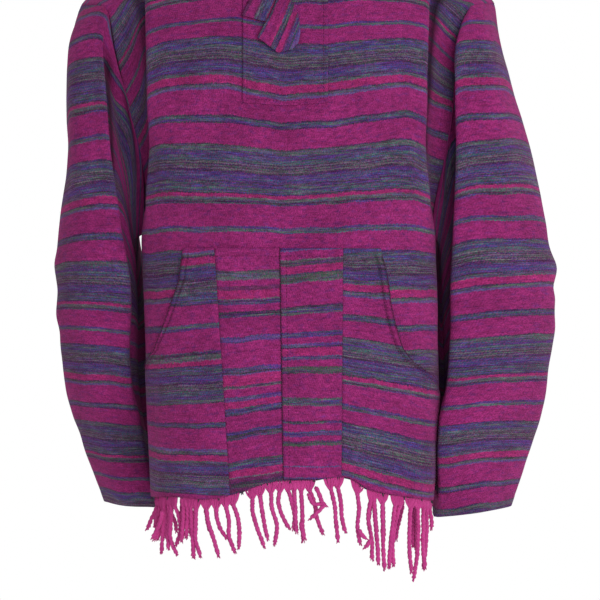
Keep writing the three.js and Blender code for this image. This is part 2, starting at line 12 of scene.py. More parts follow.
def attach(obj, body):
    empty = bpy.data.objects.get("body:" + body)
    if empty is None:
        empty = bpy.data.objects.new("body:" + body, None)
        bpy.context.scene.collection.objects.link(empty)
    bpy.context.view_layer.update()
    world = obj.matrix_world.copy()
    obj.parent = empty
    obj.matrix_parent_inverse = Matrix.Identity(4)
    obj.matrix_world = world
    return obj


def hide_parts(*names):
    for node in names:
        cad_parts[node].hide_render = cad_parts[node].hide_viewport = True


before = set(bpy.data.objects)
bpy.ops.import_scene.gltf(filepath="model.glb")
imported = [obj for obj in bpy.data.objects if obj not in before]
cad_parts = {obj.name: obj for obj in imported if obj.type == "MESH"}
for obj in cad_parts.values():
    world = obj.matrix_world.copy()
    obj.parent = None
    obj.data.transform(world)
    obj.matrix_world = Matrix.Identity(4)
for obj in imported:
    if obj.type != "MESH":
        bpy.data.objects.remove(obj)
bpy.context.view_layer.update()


# ---- Body panels ----
# One loom width of cloth each for front and back, the weft stripes running across. The neck is
# scooped out of both, the front is slit at the centre, and the hem ends in the bare warp.
WALL = 2.0
HALF_PANEL = 260
HEM_V = 705
ARMPIT_V = 385
SHOULDER_DROP = 60
NECK_U = 0.44
NECK_FRONT = 108
NECK_BACK = 24
BACK_SCALE = 0.98
SHOULDER_EASE = 14.6


def table(names, *rows):
    """Rows of numbers under named columns."""
    return [dict(zip(names.split(), row)) for row in rows]


CENTRE = table(
    "v depth z",
    [0, 0, 6], [36, 30, -12], [72, 58, -34], [108, 82, -64], [156, 104, -112],
    [274, 118, -230], [441, 124, -397], [560, 127, -516], [705, 128, -661])
QUARTER = table(
    "v x back drop",
    [0, 80, 0, 5], [72, 80, 0, 3], [156, 82, 0, 1], [274, 84, 1, -4], [441, 88, 3, 0],
    [560, 90, 5, 4], [705, 90, 8, 14])
FOLD_LEFT = table(
    "v x y z",
    [26, -158, 0, -42], [60, -161, -32, -58], [100, -161, -65, -84], [150, -159, -88, -120],
    [274, -158, -95, -234], [385, -161, -85, -343], [441, -157, -80, -400],
    [560, -152, -80, -526], [705, -145, -78, -684])
FOLD_RIGHT = table(
    "v x y z",
    [26, 160, 0, -42], [60, 163, -32, -58], [100, 164, -65, -84], [150, 163, -88, -120],
    [274, 161, -95, -230], [385, 166, -86, -342], [441, 165, -82, -400],
    [560, 168, -80, -526], [632, 165, -79, -606], [705, 160, -78, -686])
EDGE_LEFT = table(
    "v x y z",
    [60, -248, 0, -102], [91, -234, -30, -105], [118, -217, -51, -110], [133, -208, -56, -122],
    [166, -203, -49, -156], [200, -195, -46, -191], [235, -186, -46, -227],
    [298, -172, -34, -290], [335, -169, -18, -325], [385, -170, 0, -375],
    [441, -170.5, 0, -430], [560, -167, 0, -548], [705, -161, 0, -690])
EDGE_RIGHT = table(
    "v x y z",
    [60, 252, 0, -99], [91, 238, -30, -103], [118, 222, -51, -108], [133, 212, -56, -120],
    [166, 205, -49, -154], [200, 201, -46, -191], [235, 199, -45, -228],
    [298, 189, -33, -292], [335, 181, -16, -330], [385, 175, 0, -378],
    [441, 177, 0, -432], [560, 183, 0, -550], [632, 181, 0, -622], [705, 175, 0, -692])
BEYOND_LEFT = table(
    "v x y z",
    [60, -262, 0, -152], [118, -221, -76, -134], [166, -212, -72, -170], [235, -207, -72, -235],
    [298, -192, -64, -305], [335, -184, -28, -342], [385, -163, 70, -350],
    [441, -157, 80, -400], [560, -152, 80, -526], [705, -145, 78, -684])
BEYOND_RIGHT = table(
    "v x y z",
    [60, 264, 0, -149], [118, 219, -78, -132], [166, 198, -76, -170], [235, 197, -76, -236],
    [298, 196, -70, -306], [335, 196, -34, -346], [385, 168, 70, -352],
    [441, 164, 82, -400], [560, 164, 80, -526], [705, 153, 78, -686])


def smooth(keys, points, key):
    """A smooth curve through points at rising keys, straight on past its ends."""
    last = len(keys) - 1

    def slope(i):
        a, b = max(i - 1, 0), min(i + 1, last)
        return [(q - p) / (keys[b] - keys[a]) for p, q in zip(points[a], points[b])]

    if key <= keys[0]:
        return [p + s * (key - keys[0]) for p, s in zip(points[0], slope(0))]
    if key >= keys[last]:
        return [p + s * (key - keys[last]) for p, s in zip(points[last], slope(last))]
    i = 0
    while keys[i + 1] < key:
        i += 1
    h = keys[i + 1] - keys[i]
    t = (key - keys[i]) / h
    a, b, d = 2 * t**3 - 3 * t**2 + 1, (t**3 - 2 * t**2 + t) * h, (t**3 - t**2) * h
    ends = zip(points[i], points[i + 1], slope(i), slope(i + 1))
    return [a * p + (1 - a) * q + b * s + d * e for p, q, s, e in ends]


LINES = {}


def line(rows, names, key):
    """Columns of a table at a key of its first column, along a smooth curve."""
    found = LINES.get((id(rows), names))
    if found is None:
        first = next(iter(rows[0]))
        keys = [row[first] for row in rows]
        points = [[row[name] for name in names.split()] for row in rows]
        step = (keys[-1] - keys[0]) / 400
        start = keys[0] - 60 * step
        samples = [smooth(keys, points, start + step * i) for i in range(521)]
        found = LINES[(id(rows), names)] = (start, step, samples)
    start, step, samples = found
    at = min(max((key - start) / step, 0), 519.999)
    t = at - int(at)
    return [p + (q - p) * t for p, q in zip(samples[int(at)], samples[int(at) + 1])]


def straight(rows, key):
    """Second column of a table at a key of its first, along straight lines."""
    (keys, values) = zip(*[list(row.values())[:2] for row in rows])
    if key <= keys[0]:
        i = 0
    elif key >= keys[-1]:
        i = len(keys) - 2
    else:
        i = next(n for n in range(len(keys) - 1) if key <= keys[n + 1])
    return values[i] + (values[i + 1] - values[i]) * (key - keys[i]) / (keys[i + 1] - keys[i])


def step_between(low, high, x):
    t = min(max((x - low) / (high - low), 0), 1)
    return t * t * (3 - 2 * t)


def top_of(u, front):
    far = abs(u)
    if far >= NECK_U:
        return SHOULDER_DROP * (far - NECK_U) / (1 - NECK_U)
    return (NECK_FRONT if front else NECK_BACK) * (1 - (far / NECK_U) ** 2.4) ** 0.8


def body_form(u, v, front):
    """The panel's form: u from the left edge (-1) to the right (1), v down the cloth."""
    side = -1 if u < 0 else 1
    depth, z = line(CENTRE, "depth z", v)
    x, back, drop = line(QUARTER, "x back drop", v)
    fold = line(FOLD_LEFT if side < 0 else FOLD_RIGHT, "x y z", v)
    edge = line(EDGE_LEFT if side < 0 else EDGE_RIGHT, "x y z", v)
    if v >= ARMPIT_V:
        edge[1] = 0
    beyond = line(BEYOND_LEFT if side < 0 else BEYOND_RIGHT, "x y z", v)
    x, y, z = smooth(
        [-0.4, 0, 0.4, 0.75, 1, 1.3],
        [[-side * x, back - depth, z - drop], [0, -depth, z], [side * x, back - depth, z - drop],
         fold, edge, beyond], abs(u))
    if front:
        return [x, y, z]
    inner = min(1, max(0, (1 - abs(u)) * 6))
    return [x, -y * (1 - inner * (1 - BACK_SCALE)), z - 6 * inner * min(1, v / ARMPIT_V)]


def body_base(u, v, front):
    """The form with its shoulder edge drawn to the shoulder seam."""
    point = body_form(u, v, front)
    top = top_of(u, front)
    if abs(u) < NECK_U - 1e-6 or v > top + SHOULDER_EASE:
        return Vector(point)
    x, _, z = body_form(u, top, True)
    own = body_form(u, top, front)
    share = 1 - (v - top) / SHOULDER_EASE
    return Vector([p + (q - o) * share for p, q, o in zip(point, [x, 0, z], own)])


# Soft folds: centre across and down, half length and half width, turn of the fold from upright,
# and height: a ridge above 0, a trough below.
FOLDS_FRONT = table(
    "across down length width turn height",
    [-194, 190, 150, 9, -1, 2.4], [-60, 560, 70, 18, 60, 1.2], [-120, 130, 70, 16, 24, 2.0],
    [194, 190, 150, 9, 1, 2.4], [96, 250, 70, 17, -64, 1.6], [112, 120, 66, 18, -26, 2.2],
    [-150, 225, 90, 12, -10, -2.2], [148, 225, 90, 13, 9, -2.2], [30, 215, 60, 16, 76, 1.4],
    [-62, 300, 70, 20, 38, 2.2], [-38, 352, 60, 13, 52, -1.8], [54, 285, 85, 19, -32, 2.6],
    [88, 360, 66, 15, -48, -2.0], [-112, 395, 64, 17, 66, 1.8], [10, 405, 80, 12, 84, -1.6],
    [130, 410, 60, 14, -70, 1.6], [-196, 330, 74, 12, 20, -3.4], [198, 320, 80, 12, -22, -3.2],
    [-214, 470, 90, 14, 4, 2.6], [216, 480, 100, 13, -5, 2.8], [-30, 176, 46, 15, 10, -1.2],
    [-206, 620, 80, 15, -6, -3.0], [212, 610, 84, 15, 8, -3.2])
FOLDS_BACK = table(
    "across down length width turn height",
    [-164, 130, 100, 13, -14, 3.6], [-128, 190, 120, 16, -10, -3.4], [150, 125, 105, 12, 12, 3.4],
    [118, 205, 110, 15, 14, -3.2], [-36, 120, 80, 26, 78, 2.4], [40, 160, 90, 22, 98, -2.2],
    [-70, 330, 120, 20, 24, 3.4], [64, 350, 130, 18, -18, 3.2], [-8, 430, 140, 17, 6, -3.4],
    [-120, 480, 110, 19, -12, -3.2], [124, 500, 120, 20, 10, 3.0], [-60, 590, 110, 18, 6, 3.2],
    [44, 600, 105, 17, -8, -3.0], [178, 590, 95, 15, 4, 3.2], [-190, 580, 100, 15, -4, 3.0],
    [-204, 330, 84, 13, 18, -3.4], [206, 330, 84, 13, -18, -3.4], [96, 650, 60, 14, 0, -2.6])


def fold_height(rows, across, down):
    """Height of all the folds of a table at a place on the cloth."""
    total = 0
    for row in rows:
        turn = math.radians(row["turn"])
        dx, dy = across - row["across"], down - row["down"]
        along = dx * math.sin(turn) + dy * math.cos(turn)
        off = dx * math.cos(turn) - dy * math.sin(turn)
        off += 0.5 * (along / row["length"]) ** 2 * math.copysign(row["width"], row["height"])
        reach = (along / row["length"]) ** 2 + (off / row["width"]) ** 2
        if reach < 6:
            total += row["height"] * math.exp(-reach)
    return total


def body_relief(u, v, front):
    """How far the cloth stands off its form: folds, slack, and the dips at its seams."""
    across = u * HALF_PANEL
    height = fold_height(FOLDS_FRONT if front else FOLDS_BACK, across, v)
    seed = 0 if front else 40
    height += 1.6 * noise.noise(Vector((across / 90, v / 120, seed)))
    height += 0.5 * noise.noise(Vector((across / 26, v / 30, seed + 9)))
    side = (1 - abs(u)) * HALF_PANEL
    height *= step_between(0, 34, side) * step_between(0, 30, v - top_of(u, front))
    height -= 1.4 * math.exp(-((side / 5) ** 2))
    if front:
        # The front lies over its own sides, which fall back to the armholes.
        behind = step_between(0.765, 0.8, abs(u)) * (1 - step_between(0.88, 1, abs(u)))
        behind = 9 * behind + 6 * math.exp(-(((abs(u) - 0.79) * HALF_PANEL / 4.5) ** 2))
        height -= behind * step_between(60, 130, v) * (1 - step_between(330, 420, v))
    top = v - top_of(u, front)
    if abs(u) >= NECK_U:
        height -= 1.2 * math.exp(-((top / 5) ** 2)) * step_between(0, 0.04, abs(u) - NECK_U)
    else:
        height += 0.7 * (1 - step_between(7, 10, top)) - 0.5 * math.exp(-(((top - 9) / 2) ** 2))
    return height


def on_body(u, v, front, lift=0.0):
    """A point of the dressed surface and the way it faces, lift further out."""
    point = body_base(u, v, front)
    across = body_base(u + 0.01, v, front) - body_base(u - 0.01, v, front)
    down = body_base(u, v + 2, front) - body_base(u, max(v - 2, top_of(u, front)), front)
    facing = down.cross(across).normalized() * (1 if front else -1)
    return point + facing * (body_relief(u, v, front) + lift), facing


def cloth_sheet(name, columns, rows, place, cloth_at, material, close=False, finish=None,
                painted_shade=None):
    """A flat grid of cloth moved to its place on the garment, and given its thickness. place,
    cloth_at and the painted-shade function take the shares across and down; cloth_at says where on
    the woven web, and the painted-shade function how much painted shade darkens the colour there."""
    bm = bmesh.new()
    bmesh.ops.create_grid(bm, x_segments=columns, y_segments=rows, size=0.5)
    uv_layer = bm.loops.layers.uv.new("web")
    # Painted shade: how much each point's colour is darkened, kept as an attribute for the material.
    darkened = bm.verts.layers.float.new("painted_shade")
    shares = {vert: (vert.co.x + 0.5, 0.5 - vert.co.y) for vert in bm.verts}
    webs = {}
    for vert, (s, t) in shares.items():
        vert[darkened] = painted_shade(s, t) if painted_shade else 0
        vert.co = place(s, t) * 0.001
        webs[vert] = [n * 0.001 for n in cloth_at(s, t, vert.co * 1000)]
    for face in bm.faces:
        face.smooth = True
        for loop in face.loops:
            loop[uv_layer].uv = webs[loop.vert]
    if close:
        bmesh.ops.remove_doubles(bm, verts=bm.verts, dist=1e-5)
    if finish:
        finish(bm)
    mesh = bpy.data.meshes.new(name)
    bm.to_mesh(mesh)
    bm.free()
    mesh.materials.append(material)
    obj = bpy.data.objects.new(name, mesh)
    bpy.context.scene.collection.objects.link(obj)
    solidify = obj.modifiers.new("thickness", "SOLIDIFY")
    solidify.thickness = WALL * 0.001
    solidify.offset = -1
    return obj


def linear(hex_colour):
    """A yarn's colour as seen, from sRGB to the values the shader works in."""
    values = [int(hex_colour[i:i + 2], 16) / 255 for i in (1, 3, 5)]
    return [v / 12.92 if v <= 0.04045 else ((v + 0.055) / 1.055) ** 2.4 for v in values] + [1.0]


def add_node(tree, kind, settings=None, inputs=None):
    """A shader node with its settings, its inputs set or linked from other nodes' sockets."""
    made = tree.nodes.new(kind)
    for key, value in (settings or {}).items():
        setattr(made, key, value)
    for key, value in (inputs or {}).items():
        if isinstance(value, bpy.types.NodeSocket):
            tree.links.new(value, made.inputs[key])
        else:
            made.inputs[key].default_value = value
    return made


# Weft yarns: colour, and the share of it that gives way to the space-dyed yarn's other colours.
YARNS = {
    "magenta": ("#94296b", 0.0), "rose": ("#a02b69", 0.0), "plum": ("#602650", 0.15),
    "slate": ("#454a64", 0.9), "violet": ("#46347c", 0.6), "blue": ("#304486", 0.6),
    "teal": ("#2e6064", 0.7), "sage": ("#4e6a58", 0.6), "pale": ("#696c6e", 0.4),
    "olive": ("#36393c", 0.5), "charcoal": ("#262230", 0.45), "lilac": ("#5c4f8c", 0.3),
    "moss": ("#3a5e42", 0.4)}
# The web's stripes in order down the cloth: width in millimetres and yarn. Two bands differ and
# then repeat.
STRIPES = [
    (1.5, "charcoal"), (5.0, "slate"), (3.0, "blue"), (2.6, "slate"), (2.4, "teal"),
    (1.5, "pale"), (1.5, "olive"), (1.4, "sage"), (1.4, "charcoal"), (1.5, "pale"),
    (1.4, "olive"), (1.4, "sage"), (1.5, "charcoal"), (1.4, "pale"), (3.6, "charcoal"),
    (5.0, "violet"), (3.4, "blue"), (2.4, "violet"), (1.4, "charcoal"), (2.0, "slate"),
    (2.7, "sage"),
    (9.0, "rose"), (1.3, "charcoal"), (3.0, "sage"), (2.7, "lilac"),
    (27.6, "magenta"),
    (1.8, "charcoal"), (3.6, "teal"), (2.2, "violet"), (1.6, "charcoal"),
    (22.9, "magenta"),
    (1.5, "charcoal"), (4.2, "sage"), (3.8, "slate"), (3.6, "violet"), (5.4, "teal"),
    (1.5, "olive"), (1.4, "pale"), (1.6, "charcoal"), (1.4, "sage"), (1.6, "olive"),
    (1.7, "pale"), (2.8, "charcoal"), (4.4, "violet"), (2.6, "blue"), (3.0, "violet"),
    (1.5, "charcoal"), (5.8, "slate"), (3.0, "teal"), (2.2, "slate"), (1.6, "charcoal"),
    (3.6, "rose"), (1.4, "pale"), (3.2, "sage"), (2.0, "charcoal"), (1.4, "slate"),
    (25.2, "magenta"), (2.8, "violet"), (2.6, "sage"), (1.6, "teal"),
    (21.5, "magenta")]


def striped_cloth(name, stripes, repeats):
    """Brushed 2/2 twill: magenta warp, and a weft that follows the stripes."""
    material = bpy.data.materials.new(name)
    material.use_nodes = True
    tree = material.node_tree
    tree.nodes.clear()

    def add(kind, settings=None, inputs=None):
        return add_node(tree, kind, settings, inputs)

    def calc(operation, a, b=0.0, c=0.0):
        return add("ShaderNodeMath", {"operation": operation}, {0: a, 1: b, 2: c}).outputs[0]

    def grain(across, down, detail, seed):
        """Noise whose grains are that many millimetres across and down the cloth."""
        where = add("ShaderNodeCombineXYZ", None, {
            0: calc("MULTIPLY", web_u, 1000 / across), 1: calc("MULTIPLY", web_v, 1000 / down),
            2: float(seed)})
        return add("ShaderNodeTexNoise", {"noise_dimensions": "3D"},
                   {"Vector": where.outputs[0], "Scale": 1.0, "Detail": float(detail),
                    "Roughness": 0.6}).outputs[0]

    web = add("ShaderNodeUVMap", {"uv_map": "web"})
    parts = add("ShaderNodeSeparateXYZ", None, {0: web.outputs[0]})
    web_u, web_v = parts.outputs[0], parts.outputs[1]

    # The nap carries each yarn's colour over its neighbours, and the picks wander a little.
    fuzz = calc("MULTIPLY_ADD", grain(2.2, 1.5, 3, 3), 0.0056, -0.0028)
    wander = calc("MULTIPLY_ADD", grain(34, 60, 1, 5), 0.0044, -0.0022)
    pick = calc("ADD", web_v, calc("ADD", fuzz, wander))
    length = sum(width for width, _ in stripes) * 0.001
    place = calc("WRAP", pick, length, 0.0) if repeats else pick

    # The stripes, on as many ramps as they need.
    colour = weight = None
    start = 0.0
    for first in range(0, len(stripes), 30):
        part = stripes[first:first + 30]
        size = sum(width for width, _ in part) * 0.001
        ramp = add("ShaderNodeValToRGB", None, {
            0: calc("DIVIDE", calc("SUBTRACT", place, start), size)})
        ramp.color_ramp.interpolation = "CONSTANT"
        at = 0.0
        for i, (width, yarn) in enumerate(part):
            stop = ramp.color_ramp.elements[0] if i == 0 else ramp.color_ramp.elements.new(at)
            stop.position = at
            stop.color = linear(YARNS[yarn][0])[:3] + [YARNS[yarn][1]]
            at += width * 0.001 / size
        ramp.color_ramp.elements.remove(ramp.color_ramp.elements[-1])
        if colour is None:
            colour, weight = ramp.outputs[0], ramp.outputs[1]
        else:
            later = calc("GREATER_THAN", place, start)
            colour = add("ShaderNodeMix", {"data_type": "RGBA"},
                         {0: later, 6: colour, 7: ramp.outputs[0]}).outputs[2]
            weight = add("ShaderNodeMix", None,
                         {0: later, 2: weight, 3: ramp.outputs[1]}).outputs[0]
        start += size

    # Space-dyed yarn: runs of other colours along the weft, each pick with its own.
    dyed = add("ShaderNodeValToRGB", None, {0: grain(44, 2.8, 2, 11)})
    for i, (at, shade) in enumerate([
            (0.3, "#282434"), (0.37, "#4c3482"), (0.42, "#2c4290"), (0.47, "#454a66"),
            (0.52, "#2c3848"), (0.56, "#2a6468"), (0.61, "#44745a"), (0.68, "#5a5070")]):
        stop = dyed.color_ramp.elements[i] if i < 2 else dyed.color_ramp.elements.new(at)
        stop.position = at
        stop.color = linear(shade)
    share = calc("MULTIPLY", weight, 0.85)
    weft = add("ShaderNodeMix", {"data_type": "RGBA"},
               {0: share, 6: colour, 7: dyed.outputs[0]}).outputs[2]

    # Twill: the magenta warp shows in steep lines between the weft floats.
    phase = calc("ADD", calc("MULTIPLY", web_u, 2 * math.pi / 0.0025),
                 calc("MULTIPLY", web_v, -2 * math.pi / 0.0069))
    twill = calc("SINE", calc("ADD", phase, calc("MULTIPLY", grain(4, 4, 1, 21), 3.0)))
    speck = grain(2.3, 1.7, 2, 31)
    show = calc("ADD", calc("MULTIPLY", twill, 0.08), calc("MULTIPLY_ADD", speck, 2.2, -0.92))
    mixed = add("ShaderNodeMix", {"data_type": "RGBA", "clamp_factor": True},
                {0: show, 6: weft, 7: linear("#802664")}).outputs[2]
    # The warp yarn's own dye runs from a bluer to a redder magenta.
    cast = calc("MULTIPLY_ADD", grain(11, 5, 3, 49), 3.4, -1.75)
    cast = calc("MULTIPLY", cast, calc("MULTIPLY_ADD", weight, -0.8, 1.0))
    mixed = add("ShaderNodeMix", {"data_type": "RGBA", "clamp_factor": True},
                {0: cast, 6: mixed, 7: linear("#622a70")}).outputs[2]

    # Nap: light and dark flecks, and slow changes where the cloth is more or less brushed.
    tone = calc("MULTIPLY_ADD", grain(2.1, 1.9, 3, 41), 1.9, -0.03)
    tone = calc("MULTIPLY", tone, calc("MULTIPLY_ADD", grain(60, 60, 2, 43), 0.8, 0.6))
    tone = calc("MULTIPLY", tone, calc("MULTIPLY_ADD", grain(9, 5, 2, 47), 1.2, 0.4))
    # Single picks lie lighter or darker for a stretch, more so in the mixed yarns.
    streak = calc("SUBTRACT", grain(30, 1.25, 2, 45), 0.5)
    streak = calc("MULTIPLY", streak, calc("MULTIPLY_ADD", weight, 1.9, 0.8))
    tone = calc("MULTIPLY", tone, calc("ADD", streak, 1.0))
    tone = calc("MULTIPLY", tone, calc("MULTIPLY_ADD", twill, 0.05, 1.0))
    # Painted shade, no property of the cloth: the deepest creases and the hand openings are
    # darkened in the colour, where their form and the light alone leave them too pale.
    painted = add("ShaderNodeAttribute", {"attribute_name": "painted_shade"}).outputs["Fac"]
    tone = calc("MULTIPLY", tone, calc("MULTIPLY_ADD", painted, -1.0, 1.0))
    shade = add("ShaderNodeVectorMath", {"operation": "SCALE"}, {0: mixed, "Scale": tone})

    height = calc("ADD", calc("MULTIPLY", twill, 0.35), calc("MULTIPLY", speck, 1.2))
    bump = add("ShaderNodeBump", None,
               {"Strength": 0.55, "Distance": 0.0007, "Height": height})
    shader = add("ShaderNodeBsdfPrincipled", None, {
        "Base Color": shade.outputs[0], "Roughness": 0.95, "Specular IOR Level": 0.12,
        "Sheen Weight": 0.22, "Sheen Roughness": 0.6, "Sheen Tint": linear("#c4679f"),
        "Normal": bump.outputs[0]})
    add("ShaderNodeOutputMaterial", None, {0: shader.outputs[0]})
    return material


CLOTH = striped_cloth("striped brushed twill", STRIPES, True)

# Where the web lies on the body: down the cloth, against the stripes' own count.
WEB_BODY = table(
    "down web", [0, -205.7], [176, -29.7], [199.9, 0], [323.6, 123.7], [442.7, 242.7],
    [557.3, 366.4], [674, 485.4], [720, 533])
# How far the stripes hang below level across the front, and in the folds beside the armholes.
WAVE_FRONT = table(
    "u lower", [-1, 8], [-0.82, 6], [-0.74, 0], [-0.66, -2], [-0.5, -1], [-0.32, -1], [-0.1, 4],
    [-0.02, 7], [0.12, 6], [0.26, 6], [0.4, 1], [0.55, -3], [0.66, -6], [0.74, -4], [0.82, 4],
    [1, 8])
SKEW_LEFT = table("v lower", [60, 48], [150, 42], [250, 26], [330, 8], [385, 0], [705, 0])
SKEW_RIGHT = table("v lower", [60, 26], [150, 22], [200, 12], [250, 6], [330, 2], [705, 0])


def web_of_body(u, v, point, front):
    """Millimetres across and down the web at a place on the body."""
    start = 300 if u < 0 or not front else 130
    level = max(step_between(441, 540, v),
                step_between(start, start + 120, v) * step_between(0.64, 0.8, abs(u)))
    down = v * (1 - level) + (44 - point[2]) * level
    wave = straight(WAVE_FRONT, u) * (1 - 0.7 * step_between(240, 420, v))
    skew = straight(SKEW_LEFT if u < 0 else SKEW_RIGHT, v) * step_between(0.76, 1, abs(u))
    slack = 3.4 * noise.noise(Vector((u * 2.2, v / 150, 2 if front else 12)))
    if front:
        down -= wave + skew
    return [u * HALF_PANEL, straight(WEB_BODY, down + slack)]


# How much longer or shorter than its mean the front hangs along the hem.
HEM_LINE = table(
    "u longer", [-1, 0], [-0.6, 2], [-0.4, 8], [-0.3, 9], [-0.2, 7], [-0.08, 2], [0.06, 0],
    [0.14, -3], [0.22, -8], [0.3, -12], [0.36, -9], [0.42, -3], [0.48, -1], [0.7, 1], [1, 3])


def hem_longer(u):
    return line(HEM_LINE, "longer", u)[0]


SLIT_BOTTOM = -146
SLIT_WIDTHS = (2, 7)


def open_slit(bm):
    """Cuts the centre slit of the front and parts its sides."""
    cut = [e for e in bm.edges if all(
        abs(v.co.x) < 7e-4 and v.co.z * 1000 > SLIT_BOTTOM - 1 for v in e.verts)]
    bmesh.ops.split_edges(bm, edges=cut)
    for vert in [v for v in bm.verts if abs(v.co.x) < 7e-4 and v.co.z * 1000 > SLIT_BOTTOM]:
        side = sum(f.calc_center_median().x for f in vert.link_faces)
        share = (vert.co.z * 1000 - SLIT_BOTTOM) / (-60 - SLIT_BOTTOM)
        width = SLIT_WIDTHS[0] + (SLIT_WIDTHS[1] - SLIT_WIDTHS[0]) * share
        vert.co.x += math.copysign(width / 2000, side)


def make_body(node, front):
    turn = 1 if front else -1

    def where(s, t):
        u = turn * (2 * s - 1)
        top = top_of(u, front)
        return u, top + (HEM_V - top) * t + (hem_longer(u) * t**6 if front else 0)

    def place(s, t):
        return on_body(*where(s, t), front)[0]

    def web(s, t, point):
        return web_of_body(*where(s, t), point, front)

    def painted_shade(s, t):
        """Painted shade where the front folds back to the armholes."""
        u, v = where(s, t)
        if not front:
            return 0
        line_at = math.exp(-(((abs(u) - 0.825) * HALF_PANEL / 6.5) ** 2))
        down = step_between(30, 90, v) * (1 - step_between(300, 420, v))
        return (0.9 if u > 0 else 0.65) * line_at * down

    panel = cloth_sheet(node + "_cloth", 128, 150, place, web, CLOTH,
                        finish=open_slit if front else None, painted_shade=painted_shade)
    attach(panel, "root")
    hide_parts(node)
    return panel


body_front = make_body("body_front", True)
body_back = make_body("body_back", False)


# ---- Sleeves ----
# One piece each, set to the dropped armhole with its underarm seam inside, tapered to an open cuff.
# The stripes run round the arm and hang lower at its outer line.
ARM_STEPS = 13
FOLD_STEP = 5
FOLD_V = 133
SLEEVE_LENGTH = 610
ARMHOLE_EASE = 100
ARMHOLE_LAP = 0.01
UNDERARM_LAP = 0.025
RING = "midY ox oz fx fy fz rx ry rz ix iy iz ux uz in"
SLEEVE_LEFT = table(
    "v " + RING,
    [0, 0, -248, -102, -232, -36, -105, -208, -56, -122, -194, -46, -205, -170, -375, 0],
    [50, 0, -260, -152, -246, -50, -149, -212, -70, -158, -191, -42, -240, -178, -382, 0],
    [110, 1, -262, -212, -246, -57, -207, -208, -73, -214, -187, -38, -285, -182, -392, 0],
    [180, 3, -261, -284, -244, -60, -280, -202, -72, -285, -184, -34, -338, -182, -407, 0],
    [250, 7, -272, -356, -243, -60, -352, -192, -66, -356, -181, -28, -388, -180, -428, 2],
    [330, 16, -277, -436, -240, -44, -438, -181, -46, -448, -177, -16, -462, -178, -474, 5],
    [420, 36, -274, -520, -238, -20, -522, -184, -18, -530, -178, 10, -540, -179, -546, 10],
    [520, 70, -257, -616, -220, 16, -617, -178, 26, -622, -171, 48, -627, -170, -629, 8],
    [610, 102, -227, -706, -198, 56, -708, -162, 66, -711, -148, 84, -713, -143, -714, 0])
SLEEVE_RIGHT = table(
    "v " + RING,
    [0, 0, 252, -99, 236, -34, -102, 212, -56, -120, 200, -46, -205, 175, -378, 0],
    [50, 0, 258, -148, 236, -60, -148, 197, -74, -160, 198, -42, -240, 181, -388, 0],
    [110, 1, 273, -205, 242, -66, -206, 196, -76, -218, 196, -38, -285, 184, -400, 0],
    [180, 3, 293, -272, 250, -68, -276, 196, -76, -288, 193, -36, -335, 185, -418, 0],
    [250, 6, 309, -345, 256, -66, -348, 194, -72, -358, 190, -34, -390, 186, -444, 5],
    [330, 9, 322, -425, 262, -58, -430, 191, -64, -440, 188, -28, -452, 187, -486, 11],
    [420, 12, 321, -516, 262, -50, -518, 190, -54, -525, 190, -22, -530, 190, -545, 11],
    [520, 15, 300, -618, 246, -42, -618, 181, -58, -622, 183, -22, -624, 186, -628, 8],
    [610, 20, 272, -704, 232, -28, -708, 187, -20, -714, 179, 0, -716, 179, -717, 0])
# Folds as on the body, across from the sleeve's outer line and positive in front.
FOLDS_SLEEVE_LEFT = table(
    "across down length width turn height",
    [112, 190, 230, 8, 0, 2.0], [8, 305, 50, 13, 86, 1.2],
    [12, 338, 44, 12, 94, -1.3], [6, 372, 46, 13, 90, 1.2],
    [34, 402, 60, 14, 80, -1.8], [92, 262, 60, 15, 66, -2.4], [96, 322, 66, 15, 110, 2.4],
    [60, 130, 90, 20, 10, 2.4], [100, 96, 70, 11, -12, -3.2], [70, 470, 70, 20, 66, 2.4],
    [36, 520, 60, 16, 102, -2.2], [92, 560, 60, 16, 70, 2.0], [-40, 300, 70, 16, 80, 3.0],
    [-80, 350, 70, 15, 104, -3.0], [-60, 180, 90, 18, 14, -2.6], [-120, 240, 70, 14, 70, 2.8],
    [-70, 460, 80, 18, 84, 2.6], [-100, 530, 70, 16, 70, -2.4], [160, 210, 60, 12, 40, -3.0])
FOLDS_SLEEVE_RIGHT = table(
    "across down length width turn height",
    [112, 230, 260, 8, 0, 2.0], [6, 322, 46, 12, 92, 2.4],
    [4, 346, 40, 9, 84, -2.4], [30, 300, 56, 15, 76, -2.0],
    [70, 330, 70, 16, 100, 2.4], [24, 392, 60, 16, 96, 2.2], [100, 372, 64, 13, 70, -2.4],
    [64, 180, 100, 22, -8, 2.4], [98, 110, 80, 12, 10, -2.6], [56, 452, 76, 18, 84, -2.2],
    [30, 500, 60, 16, 96, 2.2], [88, 556, 60, 15, 74, -2.2], [-46, 312, 70, 16, 82, 3.0],
    [-84, 362, 70, 15, 100, -3.0], [-60, 190, 90, 18, -10, -2.6], [-118, 250, 70, 14, 74, 2.8],
    [-64, 470, 80, 18, 90, 2.6], [-100, 540, 70, 16, 74, -2.4], [160, 220, 60, 12, 40, -3.0])
WEB_SLEEVE_LEFT = table(
    "down web", [0, 51.9], [69, 123.7], [188, 242.7], [298, 366.4], [401, 485.4], [503, 609.1],
    [589, 728], [620, 770])
WEB_SLEEVE_RIGHT = table(
    "down web", [0, -52], [50, 0], [170, 123.7], [283, 242.7], [395, 366.4], [500, 485.4],
    [598, 609.1], [620, 635])
TILT_LEFT = table("down lower", [0, 20], [188, 15], [298, 10], [401, 7], [503, 1], [610, 0])
TILT_RIGHT = table("down lower", [0, 9], [170, 8], [283, 7], [395, 3], [500, 1], [610, 0])


